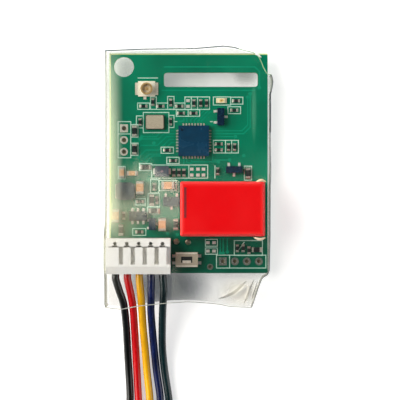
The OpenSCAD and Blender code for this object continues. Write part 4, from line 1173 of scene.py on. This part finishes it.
# distance from the middle in mm and share of the rise: the hollow side from the middle out,
# then the crown back
DOME = [(0.3, 0.667), (0.6, 0.367), (0.8, 0.0), (0.86, 0.0), (0.65, 0.567), (0.33, 0.9)]
STEPS, LAST = 40, len(DOME) - 1
places = [Vector((dome_at.x, dome_at.y, dome_low.z + rise * share)) for share in (0.8, 1.0)]
for r, share in DOME:
    for k in range(STEPS):
        a = k * math.tau / STEPS
        x, y = dome_at.x + r * MM * math.cos(a), dome_at.y + r * MM * math.sin(a)
        places.append(Vector((x, y, dome_low.z + rise * share)))
faces = []
for k in range(STEPS):
    nxt = (k + 1) % STEPS
    faces += [(0, 2 + nxt, 2 + k), (1, 2 + LAST * STEPS + k, 2 + LAST * STEPS + nxt)]
    for r in range(LAST):
        inner, outer = 2 + r * STEPS, 2 + (r + 1) * STEPS
        faces.append((inner + k, inner + nxt, outer + nxt, outer + k))
dome = mesh_piece("button_snap_dome", places, faces, "spring_steel_dome")
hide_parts("switch_dome")
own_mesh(dome)
print("dome rise, mm:", round(rise / MM, 2))

# %% [markdown]
# ## Resin, phosphor and quartz
#
# The lamp's lens is clear epoxy over a pool of yellow phosphor, and the quartz blank in the crystal is a
# clear plate. Clear solids this small would show only noise, so both are written as bright resin with a
# gloss, and the pool, which shows golden in the middle of the lens, is two low discs that run together.

# %% Lamp resin, phosphor pool and quartz
POOL_SHARES = (0.4, 0.62)
# cast epoxy: creamy and glossy
moulded("phosphor_lamp_resin", "#FFF7DC", "#F3DFA8", 0.2, 0.3, 0.1, 0.002, 1.52, 0.4)
# lapped quartz: cool white, finely ground
moulded("lapped_quartz", "#E4EBEE", "#D2DBDF", 0.25, 0.4, 0.1, 0.003, 1.54)
# settled phosphor powder in resin: golden
moulded("lamp_phosphor", "#F7D58C", "#EBBE68", 0.4, 0.3, 0.1, 0.002, 1.52)
lens_low, lens_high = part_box("led_lens")
spots = []
for share in POOL_SHARES:
    u = lens_low.x + (lens_high.x - lens_low.x) * share
    spots.append((Vector((u, (lens_low.y + lens_high.y) / 2, lens_high.z)), disc(0.24 * MM, 0.012 * MM)))
turned_piece("lamp_phosphor_pool", spots, "lamp_phosphor")
print("lens, mm:", in_mm(lens_high - lens_low), "finishes in all:", len(finishes))

# %% [markdown]
# ## Dressing the CAD nodes
#
# Each CAD node keeps its shape and gets its finish in its material slot. A table of finishes and their
# wearers is easier to check than a call for each node, and the print says whether one was left out.

# %% Finish for each node
DRESS = {
    "green_solder_mask": ["circuit_board"],
    "reflowed_solder": ["solder_joints"],
    "levelled_solder_pads": ["hole_pads"],
    "red_pbt_relay_cover": ["relay_cover"],
    "black_filled_pbt": ["relay_base", "switch_base"],
    "matt_tin_plate": ["relay_terminals", "header_pins", "plug_contacts", "switch_terminals", "inductor_ends",
                       "transistor_leads", "diode_ends"],
    "dipped_tin_ends": ["mcu_leads", "capacitor_ends", "resistor_ends"],
    "ivory_lcp": ["relay_bobbin", "relay_card"],
    "enamelled_copper_winding": ["relay_coil"],
    "bright_soft_iron": ["relay_core", "relay_armature"],
    "phosphor_bronze": ["relay_contact_springs", "relay_fixed_contacts"],
    "white_nylon_connector": ["header_shroud", "plug_housing"],
    "natural_nylon_tie": ["lead_tie"],
    "rolled_nickel_silver": ["switch_frame", "crystal_lid"],
    "black_button_cap": ["switch_button"],
    "chip_moulding_compound": ["mcu_body"],
    "transistor_moulding_compound": ["transistor_bodies"],
    "diode_moulding_compound": ["diode_body"],
    "dark_alumina": ["crystal_base"],
    "lapped_quartz": ["quartz_blank"],
    "cream_lcp_socket": ["antenna_socket_body"],
    "flash_gold_plate": ["antenna_socket_shell", "antenna_socket_pin"],
    "lamp_base_laminate": ["led_body"],
    "phosphor_lamp_resin": ["led_lens"],
    "pressed_ferrite": ["power_inductor"],
    "fired_capacitor_ceramic": ["capacitor_bodies"],
    "glazed_resistor_film": ["resistor_bodies"],
}
for name, wearers in DRESS.items():
    for wearer in wearers:
        nodes[wearer].data.materials.clear()
        nodes[wearer].data.materials.append(finishes[name])
dressed = {w for wearers in DRESS.values() for w in wearers}
bare = sorted(n for n in nodes if n not in dressed and not nodes[n].hide_render)
print("dressed:", len(dressed), "left:", bare)

# %% [markdown]
# ## The floor
#
# The object lies on a white sheet. A matt floor alone looks grey beside the lit parts, and more light
# would bleach them. So the sheet is matt, and for the camera, mirrors and glass it also glows a little:
# it reads as white and still takes the object's shadow.

# %% White sheet
SHEET_HALF, SHEET_Z, SHEET_GLOW = 1.5, -0.0001, 0.5
# uncoated white paper: matt, a little under full white
tree = start_finish("white_paper_sheet")
seen = add(tree, "LightPath", give="Is Camera Ray")
for ray in ("Is Glossy Ray", "Is Transmission Ray"):
    seen = add(tree, "Math", {0: seen, 1: add(tree, "LightPath", give=ray)}, operation="MAXIMUM")
level = add(tree, "Math", {0: seen, 1: SHEET_GLOW}, operation="MULTIPLY")
paper = add(tree, "BsdfDiffuse", {"Color": "#EDEDED"})
glow = add(tree, "Emission", {"Color": grey(1.0), "Strength": level})
end_finish(tree, add(tree, "AddShader", {0: paper, 1: glow}))
sheet_mesh = bpy.data.meshes.new("white_sheet")
corners = [(SHEET_HALF * x, SHEET_HALF * y, SHEET_Z) for x, y in ((-1, -1), (1, -1), (1, 1), (-1, 1))]
sheet_mesh.from_pydata(corners, [], [(0, 1, 2, 3)])
sheet_mesh.materials.append(finishes["white_paper_sheet"])
white_sheet = place_object("white_sheet", sheet_mesh)
print("sheet, m across:", 2 * SHEET_HALF)

# %% [markdown]
# ## The light
#
# The key light comes from low on the left, where the slope of the film mirrors it as in the photograph. A
# lamp would mirror its hard edge in the film, so the key is a broad glow in the world itself. The room
# round it is pale at the horizon and dark overhead, so that flat film doesn't mirror a veil of light, and
# one soft panel on the right fills the shadows. The key is a little warm and the room a little cool: lit
# whites are creamy and shadows bluish.

# %% Glow, room and one soft panel
FILL_PLACE, FILL_SIZE, FILL_POWER = (0.47, 0.1, 0.28), 0.5, 1.4
KEY_WAY = Vector((-0.822, 0.299, 0.485)).normalized()
# how near to the key's way the glow begins and is full, as cosines, then the strengths of key and room
KEY_EDGE, KEY_CORE, KEY_GLOW = 0.74, 0.99, 7.0
HORIZON_GLOW, OVERHEAD_GLOW = 0.42, 0.03
lamp = bpy.data.lights.new("fill_right", "AREA")
lamp.energy = FILL_POWER
lamp.size = FILL_SIZE
fill = place_object("fill_right", lamp)
fill.location = FILL_PLACE
fill.rotation_euler = (-Vector(FILL_PLACE)).to_track_quat("-Z", "Y").to_euler()
world = bpy.data.worlds.new("studio")
bpy.context.scene.world = world
world.use_nodes = True
sky = world.node_tree
sky.nodes.clear()
way = add(sky, "TexCoord", give="Generated")
height = add(sky, "SeparateXYZ", {"Vector": way}, give="Z")
dusk = add(sky, "MapRange", {"Value": height, "From Min": 0.1, "From Max": 0.85,
                             "To Min": HORIZON_GLOW, "To Max": OVERHEAD_GLOW})
toward = add(sky, "VectorMath", {0: way, 1: KEY_WAY}, give="Value", operation="DOT_PRODUCT")
key = add(sky, "MapRange", {"Value": toward, "From Min": KEY_EDGE, "From Max": KEY_CORE,
                            "To Min": 0.0, "To Max": KEY_GLOW}, interpolation_type="SMOOTHERSTEP")
room = add(sky, "Background", {"Color": "#F2F8FF", "Strength": dusk})
warm = add(sky, "Background", {"Color": "#FFFCF5", "Strength": key})
both = add(sky, "AddShader", {0: room, 1: warm})
# the camera sees plain white behind the sheet
white = add(sky, "Background", {"Color": grey(1.0), "Strength": 1.0})
pick = add(sky, "MixShader", {0: add(sky, "LightPath", give="Is Camera Ray"), 1: both, 2: white})
end_finish(sky, pick, "OutputWorld")
bpy.context.scene.view_settings.view_transform = "Standard"
